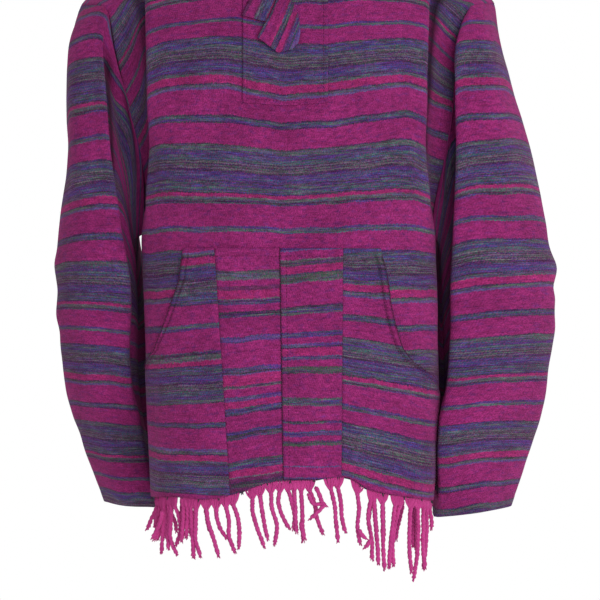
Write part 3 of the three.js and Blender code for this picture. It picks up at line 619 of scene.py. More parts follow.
def ring_point(rows, v, step, ahead):
    """Steps run from the outer line by the front fold to the underarm, in front or behind."""
    mid, ox, oz, fx, fy, fz, rx, ry, rz, ix, iy, iz, ux, uz, reach = line(rows, RING, v)
    inward = math.copysign(reach, -ox)
    front = [[fx, fy, fz], [rx, ry, rz], [ix, iy, iz]]
    back = [[x + shift, 2 * mid - y, z] for (x, y, z), shift in zip(front, (0, inward, inward))]
    own, other = (front, back) if ahead else (back, front)
    points = [other[0], [ox, mid, oz], *own, [ux, mid, uz], other[2]]
    keys = [0]
    for a, b in zip(points, points[1:]):
        keys.append(keys[-1] + math.dist(a, b))
    if step <= FOLD_STEP:
        at = keys[1] + (keys[3] - keys[1]) * step / FOLD_STEP
    else:
        at = keys[3] + (keys[5] - keys[3]) * (step - FOLD_STEP) / (ARM_STEPS - FOLD_STEP)
    return Vector(smooth(keys, points, at))


def on_sleeve(rows, folds, v, a):
    """A point of the dressed sleeve: a is 0 at the outer line, 1 and -1 at the underarm."""
    side = -1 if rows is SLEEVE_LEFT else 1

    def base(v, a):
        step, ahead = min(abs(a), 1) * ARM_STEPS, a >= 0
        point = ring_point(rows, v, step, ahead)
        ease = max(0, 1 - v / ARMHOLE_EASE) ** 2
        if ease:
            if step <= FOLD_STEP:
                down = SHOULDER_DROP + (FOLD_V - SHOULDER_DROP) * step / FOLD_STEP
            else:
                down = FOLD_V + (ARMPIT_V - FOLD_V) * (step - FOLD_STEP) / (ARM_STEPS - FOLD_STEP)
            lap = ARMHOLE_LAP + UNDERARM_LAP * step_between(8, ARM_STEPS, step)
            seam = body_base(side * (1 - lap), down, ahead)
            point += (seam - ring_point(rows, 0, step, ahead)) * ease
        return point

    point = base(v, a)
    round_arm = base(v, min(a + 0.012, 1)) - base(v, max(a - 0.012, -1))
    down_arm = base(v + 2, a) - base(max(v - 2, 0), a)
    facing = down_arm.cross(round_arm).normalized() * -side
    across = around(a)
    height = fold_height(folds, across, v)
    height += 1.5 * noise.noise(Vector((across / 60, v / 90, 20 + side)))
    height += 0.5 * noise.noise(Vector((across / 22, v / 26, 30 + side)))
    height *= step_between(0, 30, v) * step_between(0, 0.12, 1 - abs(a))
    if a > 0:
        # The front face ends in a sharp edge, and the inner side lies behind it.
        inner = 11 * step_between(118, 123, across) * (1 - step_between(160, 215, across))
        inner += 6 * math.exp(-(((across - 126) / 4.5) ** 2))
        height -= inner * step_between(5, 45, v) * (1 - step_between(400, 500, v))
    height -= 1.4 * math.exp(-((v / 5) ** 2)) + 1.0 * math.exp(-(((1 - abs(a)) * 200 / 5) ** 2))
    height += 0.5 * (1 - step_between(8, 12, SLEEVE_LENGTH - v))
    return point + facing * height


def around(a):
    """Millimetres round the arm from its outer line."""
    fold = FOLD_STEP / ARM_STEPS
    far = abs(a)
    return math.copysign(
        120 * far / fold if far < fold else 120 + 110 * (far - fold) / (1 - fold), a)


def make_sleeve(node, rows, folds, webs, tilts):
    left = rows is SLEEVE_LEFT

    def where(s, t):
        return SLEEVE_LENGTH * t, (2 * s - 1) * (1 if left else -1)

    def place(s, t):
        return on_sleeve(rows, folds, *where(s, t))

    def web(s, t, point):
        v, a = where(s, t)
        outer = 1 - min(1, abs(a) * ARM_STEPS / FOLD_STEP)
        lower = straight(tilts, v) * (outer if left else outer * outer)
        slack = 3.0 * noise.noise(Vector((around(a) / 48, v / 120, 50 if left else 60)))
        if left and a > 0:
            inner = step_between(5, 9, a * ARM_STEPS) * (1 - step_between(9.5, 13, a * ARM_STEPS))
            slack += 42 * inner * (1 - step_between(220, 380, v))
        return [around(a), straight(webs, v - lower + slack)]

    def painted_shade(s, t):
        """Painted shade behind the sharp front edge."""
        v, a = where(s, t)
        line_at = math.exp(-(((around(a) - 139) / 9.0) ** 2))
        return (0.9 if left else 0.55) * line_at * step_between(5, 40, v) * (
            1 - step_between(380, 500, v))

    sleeve = cloth_sheet(node + "_cloth", 150, 132, place, web, CLOTH, close=True, painted_shade=painted_shade)
    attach(sleeve, "root")
    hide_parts(node)
    return sleeve


sleeve_left = make_sleeve("sleeve_left", SLEEVE_LEFT, FOLDS_SLEEVE_LEFT, WEB_SLEEVE_LEFT,
                          TILT_LEFT)
sleeve_right = make_sleeve("sleeve_right", SLEEVE_RIGHT, FOLDS_SLEEVE_RIGHT, WEB_SLEEVE_RIGHT,
                           TILT_RIGHT)


# ---- Neck placket ----
# A rectangle of the same cloth laid on the front with its stripes matched, its edges turned under
# and stitched, and slit with the front.
PLACKET_HALF = 49
PLACKET_BOTTOM_V = 277
LIFT = 1.5
PATCH_WALL = 0.0013


def u_at(x, v):
    """Where across the front the cloth passes x, down at v."""
    u = x / 210
    for _ in range(5):
        here = body_form(u, v, True)[0]
        u += (x - here) * 0.002 / (body_form(u + 0.002, v, True)[0] - here)
    return u


def turned_edge(d, width):
    """Height of a turned and stitched edge, at a distance from it."""
    return 0.8 * (1 - step_between(width, width + 3, d)) - 0.7 * math.exp(
        -(((d - width) / 1.6) ** 2))


def placket_where(s, t):
    top = top_of((2 * s - 1) * 0.24, True)
    v = top + (PLACKET_BOTTOM_V - top) * t
    u = u_at((2 * s - 1) * PLACKET_HALF, v)
    return u, v, min(PLACKET_HALF * (1 - abs(2 * s - 1)), PLACKET_BOTTOM_V - v)


def place_placket(s, t):
    u, v, d = placket_where(s, t)
    return on_body(u, v, True, LIFT + turned_edge(d, 5))[0]


def web_of_placket(s, t, point):
    u, v, _ = placket_where(s, t)
    across, web = web_of_body(u, v, point, True)
    return [across + 900, web - 1.6]


placket = cloth_sheet("neck_placket_cloth", 40, 80, place_placket, web_of_placket, CLOTH,
                      finish=open_slit)
placket.modifiers["thickness"].thickness = PATCH_WALL
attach(placket, "root")
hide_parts("neck_placket")


# ---- Pouch pocket ----
# Four strips of the cloth, each cut from another place of the web and one of them upside down,
# joined side by side, with slanted hand openings and the ends caught in the side seams and hem.
POCKET_TOP_V = 441
OPENING_LEFT = table(
    "u v", [-0.532, 441], [-0.543, 460], [-0.553, 478], [-0.595, 500], [-0.636, 521],
    [-0.68, 537], [-0.74, 551], [-0.85, 559], [-1, 556])
OPENING_RIGHT = table(
    "u v", [0.488, 441], [0.506, 461], [0.519, 481], [0.526, 500], [0.547, 526], [0.58, 551],
    [0.63, 565], [0.7, 573], [0.82, 580], [1, 580])
POCKET_SEAMS = table("top hem", [-81, -63], [-6, -2], [66, 64])
STRIPES_PLAIN_LEFT = [
    (26.3, "magenta"), (2.2, "olive"), (6.5, "sage"), (1.6, "pale"), (6.9, "magenta"),
    (5.2, "plum"), (9.7, "rose"), (1.3, "pale"), (1.3, "charcoal"), (3.4, "violet"),
    (8.0, "magenta"), (3.4, "charcoal"), (2.9, "slate"), (21.2, "magenta"), (1.7, "violet"),
    (3.4, "lilac"), (1.7, "violet"), (28.6, "magenta"), (4.6, "violet"), (2.3, "charcoal"),
    (1.7, "lilac"), (12.0, "rose"), (2.3, "olive"), (1.7, "pale"), (8.6, "magenta"),
    (3.4, "violet"), (1.7, "lilac"), (7.4, "rose"), (4.0, "slate"), (2.3, "blue"),
    (1.7, "charcoal"), (17.2, "magenta"), (3.4, "blue"), (2.9, "charcoal"), (2.9, "slate"),
    (25.2, "magenta"), (3.4, "olive"), (3.4, "teal"), (4.6, "violet"), (8.0, "rose"),
    (1.7, "pale"), (4.6, "plum"), (3.4, "charcoal"), (3.4, "olive"), (3.4, "plum"),
    (30.0, "charcoal")]
STRIPES_PLAIN_RIGHT = [
    (2.3, "violet"), (1.1, "lilac"), (9.2, "magenta"), (1.7, "pale"), (5.7, "olive"),
    (8.6, "rose"), (1.7, "olive"), (8.0, "moss"), (1.7, "sage"), (26.9, "magenta"),
    (2.3, "charcoal"), (4.6, "slate"), (2.3, "sage"), (20.6, "magenta"), (5.7, "violet"),
    (6.9, "magenta"), (1.7, "lilac"), (2.3, "violet"), (1.7, "charcoal"), (9.2, "rose"),
    (4.6, "violet"), (8.0, "magenta"), (5.7, "moss"), (2.3, "olive"), (26.3, "magenta"),
    (2.3, "sage"), (4.6, "slate"), (2.3, "sage"), (17.2, "magenta"), (2.3, "charcoal"),
    (1.7, "slate"), (8.6, "magenta"), (1.7, "teal"), (4.0, "violet"), (5.7, "magenta"),
    (2.3, "olive"), (3.4, "moss"), (22.9, "magenta"), (1.4, "lilac"), (11.5, "magenta"),
    (1.7, "violet"), (30.0, "charcoal")]
CLOTH_PLAIN_LEFT = striped_cloth("striped twill, second strip", STRIPES_PLAIN_LEFT, False)
CLOTH_PLAIN_RIGHT = striped_cloth("striped twill, third strip", STRIPES_PLAIN_RIGHT, False)
# How each strip lies: height, place on its web, and how far its stripes fall to the right.
WEB_STRIP_1 = table(
    "down web fall", [396, 70, -0.04], [408, 57, -0.04], [463, 0, -0.06], [486, -22.7, -0.09],
    [517, -53.7, -0.09], [533, -65.2, -0.08], [576, -119, -0.08], [597, -141.9, -0.04],
    [603, -151.1, -0.02], [626, -178.7, 0], [634, -185.7, 0], [640, -194.7, 0], [679, -242.7, 0])
WEB_STRIP_2 = table("down web fall", [396, 0, 0.02], [430, 34, -0.02], [500, 104, -0.07],
                    [570, 174, -0.12], [640, 244, -0.17], [700, 304, -0.17])
WEB_STRIP_3 = table("down web fall", [395, 0, -0.06], [430, 35, -0.09], [465, 70, -0.06],
                    [520, 125, -0.03], [600, 205, 0.0], [700, 305, 0.02])
WEB_STRIP_4 = table(
    "down web fall", [396, 4, 0.0], [439, 48, 0.04], [447, 57, 0.06], [456, 64.5, 0.09],
    [477, 91.6, 0.11], [486, 100.8, 0.12], [505, 123.7, 0.14], [549, 177.5, 0.18],
    [555, 181, 0.19], [560, 189, 0.2], [582, 213, 0.21], [591, 221.1, 0.22],
    [606, 242.7, 0.25], [656, 290.7, 0.3], [690, 325, 0.3])


def between(rows, t):
    """A point at a share of the way along a line of u and v, by the cloth's own length."""
    spots = [(row["u"] * HALF_PANEL, row["v"]) for row in rows]
    lengths = [math.dist(a, b) for a, b in zip(spots, spots[1:])]
    left = t * sum(lengths)
    for (a, b), length in zip(zip(spots, spots[1:]), lengths):
        if left <= length or b is spots[-1]:
            k = left / length
            return (a[0] + (b[0] - a[0]) * k) / HALF_PANEL, a[1] + (b[1] - a[1]) * k
        left -= length


def seam_where(row, t):
    v = POCKET_TOP_V + (HEM_V - POCKET_TOP_V) * t
    return u_at(row["top"] + (row["hem"] - row["top"]) * t, v), v


def outer_where(opening, t):
    return between([*opening, {"u": opening[-1]["u"], "v": HEM_V}], t)


def make_strip(number, left_line, right_line, rise, webs, material, columns):
    """One strip of the pocket between two lines; rise is its own edges' height."""
    cache = {}

    def where(s, t):
        if t not in cache:
            cache[t] = (left_line(t), right_line(t))
        (ul, vl), (ur, vr) = cache[t]
        near, far = 0.05 / HALF_PANEL, (ur - ul) * HALF_PANEL
        u = ul + near + (ur - ul - 2 * near) * s
        return u, vl + (vr - vl) * s + hem_longer(u) * t * t, far * s, far * (1 - s)

    def place(s, t):
        u, v, from_left, from_right = where(s, t)
        down = v - POCKET_TOP_V
        seam = (1 - abs(u)) * HALF_PANEL
        lift = LIFT * (0.15 + 0.85 * step_between(0, 16, seam))
        lift += rise(from_left, from_right, t) * step_between(0, 26, seam)
        lift += turned_edge(down, 9) * step_between(0, 6, min(from_left, from_right) + 3)
        lift += 1.1 * step_between(0, 50, min(from_left, from_right)) * step_between(
            0, 60, down) * step_between(0, 40, seam)
        return on_body(u, v, True, lift)[0]

    def web(s, t, point):
        down = -point[2]
        names = list(webs[0])
        fall = straight([{names[0]: r[names[0]], "fall": r["fall"]} for r in webs], down)
        across = point[0] - (left_x + right_x) / 2
        slack = 1.6 * noise.noise(Vector((point[0] / 34, down / 60, 70 + number)))
        return [point[0] + 300 * number, straight(webs, down - fall * across + slack)]

    def painted_shade(s, t):
        """Painted shade along a hand opening's edge and its inner row of stitches."""
        if number in (2, 3):
            return 0
        d = where(s, t)[2 if number == 1 else 3]
        dark = 0.65 * math.exp(-((d / 2.6) ** 2)) + 0.4 * math.exp(-(((d - 8) / 2.2) ** 2))
        return dark * step_between(0, 0.03, t) * (1 - step_between(0.42, 0.5, t))

    left_x, right_x = (body_form(*side(0.5), True)[0] for side in (left_line, right_line))
    strip = cloth_sheet(f"pocket_panel_{number}_cloth", columns, 84, place, web, material,
                        painted_shade=painted_shade)
    strip.modifiers["thickness"].thickness = PATCH_WALL
    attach(strip, "root")
    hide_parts(f"pocket_panel_{number}")
    return strip


def mouth(d, t):
    """The hand opening's edge stands off a little, turned and stitched."""
    return 2.6 * math.exp(-((d / 26) ** 2)) * (1 - step_between(0.3, 0.5, t)) * step_between(
        0, 0.08, t) + 1.5 * turned_edge(d, 8) * (1 - step_between(0.42, 0.5, t))


def flat_seam(d):
    return -0.35 * math.exp(-((d / 2.4) ** 2))


def raised_seam(d):
    return 1.0 * (1 - step_between(7, 10, d)) - 0.5 * math.exp(-(((d - 8) / 1.5) ** 2))


def seam_line(k):
    return lambda t: seam_where(POCKET_SEAMS[k], t)


strips = [
    make_strip(1, lambda t: outer_where(OPENING_LEFT, t), seam_line(0),
               lambda a, b, t: mouth(a, t) + flat_seam(b), WEB_STRIP_1, CLOTH, 44),
    make_strip(2, seam_line(0), seam_line(1),
               lambda a, b, t: flat_seam(a) + flat_seam(b), WEB_STRIP_2, CLOTH_PLAIN_LEFT, 24),
    make_strip(3, seam_line(1), seam_line(2),
               lambda a, b, t: raised_seam(a) + flat_seam(b), WEB_STRIP_3, CLOTH_PLAIN_RIGHT, 24),
    make_strip(4, seam_line(2), lambda t: outer_where(OPENING_RIGHT, t),
               lambda a, b, t: flat_seam(a) + 1.4 * mouth(b, t), WEB_STRIP_4, CLOTH, 48)]


# ---- Ties ----
# Two flat straps folded from strips of the cloth, so the stripes run along them, sewn at the top
# corners of the slit. The front one hangs over the slit and widens to its pointed end.
TIE_FRONT = table(
    "at lx lz rx rz off turn dip",
    [0, 0, -82, 18, -82, 2.65, 0, 0], [1, -5, -97, 12, -97, 5, 14, 0],
    [2, -10.5, -112.5, 7, -112.5, 7, 14, 0], [3, -16, -125, 13.5, -126, 7.5, 9, 0],
    [4, -23, -139, 17.5, -144.5, 7, 5, 0], [5, -29.6, -151.2, 16, -161, 6.5, 3, 4],
    [6, -32.5, -155.8, 8, -170.5, 6, 2, 9])
TIE_BACK = table(
    "at lx lz rx rz off turn dip",
    [0, -19, -80, -3, -80, 2.65, 0, 0], [1, -33, -97, -7, -97, 3, -3, 0],
    [2, -41, -112, -11.5, -112.5, 3.1, -4, 0], [3, -46.5, -123, -15.5, -126, 3.1, -4, 0],
    [4, -50, -130, -19, -137.5, 3.2, -3, 1])
TIE_WALL = 0.0026
STRIPES_TIE_FRONT = [
    (3.0, "slate"), (12.0, "magenta"), (3.0, "rose"), (5.5, "slate"), (1.5, "charcoal"),
    (6.0, "rose"), (2.0, "plum"), (4.5, "violet"), (4.0, "slate"), (20.0, "lilac")]
STRIPES_TIE_BACK = [
    (4.0, "plum"), (9.0, "magenta"), (2.0, "plum"), (6.0, "slate"), (5.0, "blue"), (2.0, "slate"),
    (20.0, "rose")]


def locate(x, z):
    """Where the front lies at a given x and z."""
    u, v = x / 210, 44 - z
    for _ in range(8):
        here = body_form(u, v, True)
        u += (x - here[0]) * 0.002 / (body_form(u + 0.002, v, True)[0] - here[0])
        v += (z - here[2]) * 0.5 / (body_form(u, v + 0.5, True)[2] - here[2])
    return u, v


def make_tie(node, rows, stripes, columns, steps):
    last = len(rows) - 1
    names = "lx lz rx rz off turn dip"

    def place(s, t):
        lx, lz, rx, rz, off, turn, dip = line(rows, names, t * last)
        left, right = Vector((lx, 0, lz)), Vector((rx, 0, rz))
        half = (right - left).length / 2
        side = (right - left).normalized()
        w, a = 2 * s - 1, math.radians(turn)
        corner = 0.66
        point = s / corner if s < corner else (1 - s) / (1 - corner)
        spot = (left + right) / 2 + side * (w * half * math.cos(a))
        spot += Vector((side.z, 0, -side.x)) * (dip * point)
        u, v = locate(spot.x, spot.z)
        base = body_base(u, v, True)
        across = body_base(u + 0.02, v, True) - body_base(u - 0.02, v, True)
        facing = (body_base(u, v + 2, True) - body_base(u, v - 2, True)).cross(across).normalized()
        rolled = 0.7 * math.exp(-(((1 - abs(w)) * half / 2.0) ** 2))
        return base + facing * (off + WALL + 0.6 - rolled + half * (
            w * math.sin(a) + abs(math.sin(a))))

    def web(s, t, point):
        lx, lz, rx, rz = line(rows, "lx lz rx rz", t * last)
        return [1500 + 90 * t, s * math.dist((lx, lz), (rx, rz))]

    tie = cloth_sheet(node + "_cloth", columns, steps, place, web,
                      striped_cloth(node.replace("_", " ") + " twill", stripes, False))
    tie.modifiers["thickness"].thickness = TIE_WALL
    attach(tie, "root")
    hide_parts(node)
    return tie


tie_front = make_tie("tie_front", TIE_FRONT, STRIPES_TIE_FRONT, 22, 44)
tie_back = make_tie("tie_back", TIE_BACK, STRIPES_TIE_BACK, 16, 30)


# ---- Fringe ----
# The bare warp below the last weft pick, gathered and twisted into two-ply strands, front and
# back. Each strand's root across, then how far it sways at a third, two thirds and its end, and
# how long it hangs.
STRANDS = table(
    "root third second tip drop",
    [-153.1, -3.3, -7.9, -11.4, 37], [-149.5, 1.1, -1.2, -3.5, 33],
    [-145.5, 1.7, -0.6, -8.6, 50], [-142.6, 0.5, -0.6, -1.2, 64], [-135.8, 1.2, -1.1, -1.1, 60],
    [-132.9, -0.6, -1.7, 5.2, 67], [-128.9, 5.8, 6.9, 2.3, 56], [-117.4, 0, -1.1, -2.3, 50],
    [-112.8, 0, -1.2, -2.3, 46], [-108.8, 1.2, 2.3, 2.9, 68], [-102.5, -0.6, -1.1, 4, 66],
    [-91, 2.8, 8.6, 13.7, 65], [-79.5, 1.1, 4, 11.4, 45], [-68.1, 3.5, 3.5, 9.8, 63],
    [-60, 5.7, 7.4, 6.8, 61], [-37.7, 0.6, 6.3, 13.2, 66], [-29.1, 2.3, 5.2, 8.6, 61],
    [-16.5, 1.2, 6.9, 4.6, 70], [-6.1, -1.8, 2.3, 10.3, 54], [3, 4.6, 7.5, 6.9, 56],
    [9.9, 1.2, 1.9, 2.9, 59], [17.9, 1.2, 1.8, 2.3, 69], [27.1, 6.3, 9.2, 15.5, 61],
    [51.2, 5.2, 6.9, 9.2, 72], [59.8, 3.5, 4.7, 8.6, 62], [82.2, 2.3, 0.6, 3.4, 70],
    [98.2, -2.8, 1.2, 1.8, 79], [101.7, 1.7, 4, 5.7, 82], [111.4, 0.6, 1.2, 2.9, 87],
    [126.9, -3.4, -6.3, -8, 82], [132.6, -5.7, -8.6, -7.4, 80], [145.3, -1.2, -1.2, 1.1, 86],
    [154.4, 0.6, -0.5, -4.5, 94], [161.3, 0, -0.6, 1.7, 80], [166, 0, -1.1, -3.4, 81],
    [170, 1.7, 3.4, 3.4, 33])
# Ends that fork off a strand or curl back over it: across and up at four places.
SIDE_ENDS = table(
    "x1 z1 x2 z2 x3 z3 x4 z4",
    [26, -676, 32, -688, 44, -689, 29, -705], [34, -668, 39, -678, 42, -686, 46, -690],
    [-143, -700, -145, -712, -149, -722, -154, -731], [84, -717, 86, -722, 89, -726, 92, -728],
    [98, -729, 96, -733, 94, -736, 91, -739], [19, -708, 18, -713, 20, -720, 22, -727])
PLY_RADIUS = 1.95
TWIST_RADIUS = 0.85
TWIST_PITCH = 11.0
LOOSE_FIBRES = 9
GATHER = 10.0
# The back's strands are the front's, spread from a middle point, and kept inside the side seams.
BACK_SPREAD = 1.1
BACK_MIDDLE_X = 16.8
BACK_MIDDLE_Z = -456
BACK_ROOTS = (-154, 160)
BACK_ENDS = (-160, 164)
ENDS_LEAN = 0.02


def tube(bm, points, radii, sides):
    """A closed yarn through points, rolled from a grid."""
    made = bmesh.ops.create_grid(bm, x_segments=sides, y_segments=len(points) - 1, size=0.5)
    side = Vector((1, 0, 0))
    rows = {}
    for vert in made["verts"]:
        rows.setdefault(round((0.5 - vert.co.y) * (len(points) - 1)), []).append(vert)
    for i in sorted(rows):
        run = (points[min(i + 1, len(points) - 1)] - points[max(i - 1, 0)]).normalized()
        side = (side - run * side.dot(run)).normalized()
        deep = run.cross(side)
        for vert in rows[i]:
            angle = -2 * math.pi * (vert.co.x + 0.5)
            vert.co = (points[i] + (side * math.cos(angle) + deep * math.sin(angle)) * radii[i]) * 0.001
    bmesh.ops.remove_doubles(bm, verts=made["verts"], dist=1e-7)


def strand(bm, path, rng):
    """Two plies twisted round each other along a path, with a few loose fibres at the end."""
    keys = [i / (len(path) - 1) for i in range(len(path))]
    length = sum((b - a).length for a, b in zip(path, path[1:]))
    steps = max(8, int(length / 1.7))
    centres = [Vector(smooth(keys, [list(p) for p in path], i / steps)) for i in range(steps + 1)]
    start = rng.uniform(0, 2 * math.pi)
    for ply in (0, 1):
        points, radii = [], []
        for i, centre in enumerate(centres):
            turn = start + ply * math.pi + 2 * math.pi * length * i / steps / TWIST_PITCH
            end = step_between(0, 4, length * (1 - i / steps))
            reach = TWIST_RADIUS * (1.5 - 0.5 * end)
            points.append(centre + Vector((math.cos(turn), math.sin(turn) * 0.9, 0)) * reach)
            lump = 1 + 0.3 * noise.noise(centre * 0.22 + Vector((0, 0, 9 * ply)))
            radii.append(PLY_RADIUS * lump)
        radii[0] = radii[-1] = 0
        tube(bm, points, radii, 7)
    tip, run = centres[-1], (centres[-1] - centres[-3]).normalized()
    for _ in range(LOOSE_FIBRES):
        splay = Vector((rng.uniform(-1, 1), rng.uniform(-1, 1), rng.uniform(-0.4, 0.3)))
        reach = rng.uniform(1.2, 3.4)
        points = [tip - run * 2.0 + splay * 0.9,
                  tip + run * reach * 0.5 + splay * 1.7, tip + run * reach + splay * 2.3]
        tube(bm, points, [0.6, 0.55, 0.25], 4)


def hem_u(x):
    """Where along the hem the cloth passes x."""
    low, high = -0.985, 0.985
    for _ in range(24):
        mid = (low + high) / 2
        low, high = (mid, high) if body_form(mid, HEM_V, True)[0] < x else (low, mid)
    return (low + high) / 2


def yarn_material(name, colour, dark):
    """Spun wool-like yarn: fine fibres along it, darker where they part, and a soft sheen."""
    material = bpy.data.materials.new(name)
    material.use_nodes = True
    tree = material.node_tree
    tree.nodes.clear()
    where = add_node(tree, "ShaderNodeTexCoord").outputs["Object"]
    fibre = add_node(tree, "ShaderNodeTexNoise", None,
                     {"Vector": where, "Scale": 1500.0, "Detail": 3.0}).outputs[0]
    patch = add_node(tree, "ShaderNodeTexNoise", None,
                     {"Vector": where, "Scale": 90.0, "Detail": 2.0}).outputs[0]
    both = add_node(tree, "ShaderNodeMath", {"operation": "MULTIPLY_ADD"},
                    {0: fibre, 1: 0.7, 2: add_node(
                        tree, "ShaderNodeMath", {"operation": "MULTIPLY_ADD"},
                        {0: patch, 1: 0.8, 2: -0.28}).outputs[0]}).outputs[0]
    mixed = add_node(tree, "ShaderNodeMix", {"data_type": "RGBA", "clamp_factor": True},
                     {0: both, 6: linear(dark), 7: linear(colour)}).outputs[2]
    bump = add_node(tree, "ShaderNodeBump", None,
                    {"Strength": 0.5, "Distance": 0.0006, "Height": fibre})
    shader = add_node(tree, "ShaderNodeBsdfPrincipled", None, {
        "Base Color": mixed, "Roughness": 0.9, "Specular IOR Level": 0.15, "Sheen Weight": 0.25,
        "Sheen Roughness": 0.5, "Sheen Tint": linear("#e58fc0"), "Normal": bump.outputs[0]})
    add_node(tree, "ShaderNodeOutputMaterial", None, {0: shader.outputs[0]})
    return material


def joined_piece(name, bm, material):
    """Ends a piece built of many small ones."""
    for face in bm.faces:
        face.smooth = True
    bmesh.ops.recalc_face_normals(bm, faces=bm.faces)
    mesh = bpy.data.meshes.new(name)
    bm.to_mesh(mesh)
    bm.free()
    mesh.materials.append(material)
    obj = bpy.data.objects.new(name, mesh)
    bpy.context.scene.collection.objects.link(obj)
    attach(obj, "root")
    return obj


def hem_point(x, front):
    u = hem_u(x)
    point, facing = on_body(u, HEM_V + (hem_longer(u) if front else 0), front)
    return point - facing * 1.0, facing


def gather(bm, root_x, low, reach, front, rng):
    """Warp ends drawn together from the last pick into the top of a strand."""
    for n in range(8):
        x = root_x + reach * (n / 3.5 - 1) + rng.uniform(-0.5, 0.5)
        top, _ = hem_point(x, front)
        end = low + Vector((0.35 * (n - 3.5), rng.uniform(-0.8, 0.8), -3.0))
        mid = (top + end) / 2 + Vector(((x - end.x) * 0.12, rng.uniform(-0.5, 0.5), 0))
        tube(bm, [top + Vector((0, 0, 0.6)), mid, end], [1.0, 1.25, 1.1], 5)


def make_fringe(node, front):
    rng = random.Random(11 if front else 23)
    bm = bmesh.new()
    for i, row in enumerate(STRANDS):
        root, facing = hem_point(row["root"], True)
        flare = rng.uniform(-1.5, 2.0)
        path = [root + facing * flare * at
                + Vector((row[key] if key else 0, 0, -GATHER - (row["drop"] - GATHER) * at))
                for key, at in ((None, 0), ("third", 1 / 3), ("second", 2 / 3), ("tip", 1))]
        root_x = row["root"]
        if not front:
            root_x = BACK_MIDDLE_X + (root_x - BACK_MIDDLE_X) * BACK_SPREAD
            root_x = min(max(root_x, BACK_ROOTS[0]), BACK_ROOTS[1])
            root, facing = hem_point(root_x, False)
            furthest = BACK_ENDS[1] - ENDS_LEAN * root_x
            path = [Vector((min(max(BACK_MIDDLE_X + (p.x - BACK_MIDDLE_X) * BACK_SPREAD,
                                    BACK_ENDS[0]), furthest),
                            root.y + flare * n,
                            BACK_MIDDLE_Z + (p.z - BACK_MIDDLE_Z) * BACK_SPREAD))
                    for n, p in enumerate([path[0], (path[0] + path[1]) / 2, path[1],
                                           (path[1] + path[2]) / 2])]
            path.insert(0, root + Vector((0, 0, -GATHER)))
        strand(bm, path, rng)
        near = [abs(STRANDS[j]["root"] - row["root"]) for j in (i - 1, i + 1)
                if 0 <= j < len(STRANDS)]
        reach = min(7.5, max(2.8, min(near) * 0.9, sum(near) / len(near) * 0.5))
        gather(bm, root_x, path[0], reach, front, rng)
    if front:
        for row in SIDE_ENDS:
            y = hem_point(row["x1"], True)[0].y - 3.5
            strand(bm, [Vector((row[f"x{k}"], y - 0.8 * k, row[f"z{k}"])) for k in range(1, 5)],
                   rng)
    fringe = joined_piece(node + "_yarns", bm, FRINGE_YARN)
    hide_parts(node)
    return fringe


FRINGE_YARN = yarn_material("magenta warp yarn", "#dc4f9f", "#a62e72")
fringe_front = make_fringe("fringe_front", True)
fringe_back = make_fringe("fringe_back", False)


# ---- Last weft pick ----
# The last weft yarn, a dark one, closes the web at the hem above the bare warp. Its loose bits
# hang between the strands.
def make_last_pick():
    rng = random.Random(5)
    bm = bmesh.new()
    for front in (True, False):
        along = [-0.985 + 1.97 * i / 150 for i in range(151)]
        spots = [on_body(u, HEM_V + (hem_longer(u) if front else 0), front) for u in along]
        for k in (0, 1):
            points = [p - f * 0.9 + Vector((0, 0, 0.4 - 1.1 * k + 0.3 * math.sin(i * 1.7 + k)))
                      for i, (p, f) in enumerate(spots)]
            tube(bm, points, [0] + [0.75] * (len(points) - 2) + [0], 5)
        for i in range(5, 150, 9):
            root, facing = spots[i][0] - spots[i][1] * 0.6, spots[i][1]
            for _ in range(3):
                run = Vector((rng.uniform(-1.6, 1.6), 0, -rng.uniform(2.2, 4.4)))
                out = facing * rng.uniform(-0.5, 1.2)
                tube(bm, [root, root + run * 0.5 + out, root + run + out * 1.4],
                     [0.7, 0.75, 0.35], 4)
    return joined_piece("last_weft_pick", bm, yarn_material("dark weft yarn", "#4a4a55", "#26232c"))


last_pick = make_last_pick()


# ---- Stitching ----
# Thread close to the cloth's own colour holds the placket, the pocket's turned edges and the
# neckline; a dark thread overcasts the pocket's middle seam.
STITCH = 2.9
STITCH_EVERY = 4.2


def sew(bm, spots, wide=0.75):
    """Stitches along a line of places on the cloth, each sunk at both ends."""
    along, due = 0.0, 1.0
    for (a, out), (b, _) in zip(spots, spots[1:]):
        length = (b - a).length
        while due < along + length:
            centre = a + (b - a) * ((due - along) / length)
            made = bmesh.ops.create_icosphere(bm, subdivisions=1, radius=0.5)
            run = (b - a).normalized()
            across = out.cross(run).normalized()
            for vert in made["verts"]:
                c = vert.co
                vert.co = (centre + run * (c.x * STITCH) + across * (c.y * wide)
                           + out * (c.z * 0.55)) * 0.001
            due += STITCH_EVERY
        along += length


def lined(where, lift, count):
    """Places along a line on the cloth, from a function of its share."""
    return [on_body(*where(i / count), True, lift) for i in range(count + 1)]


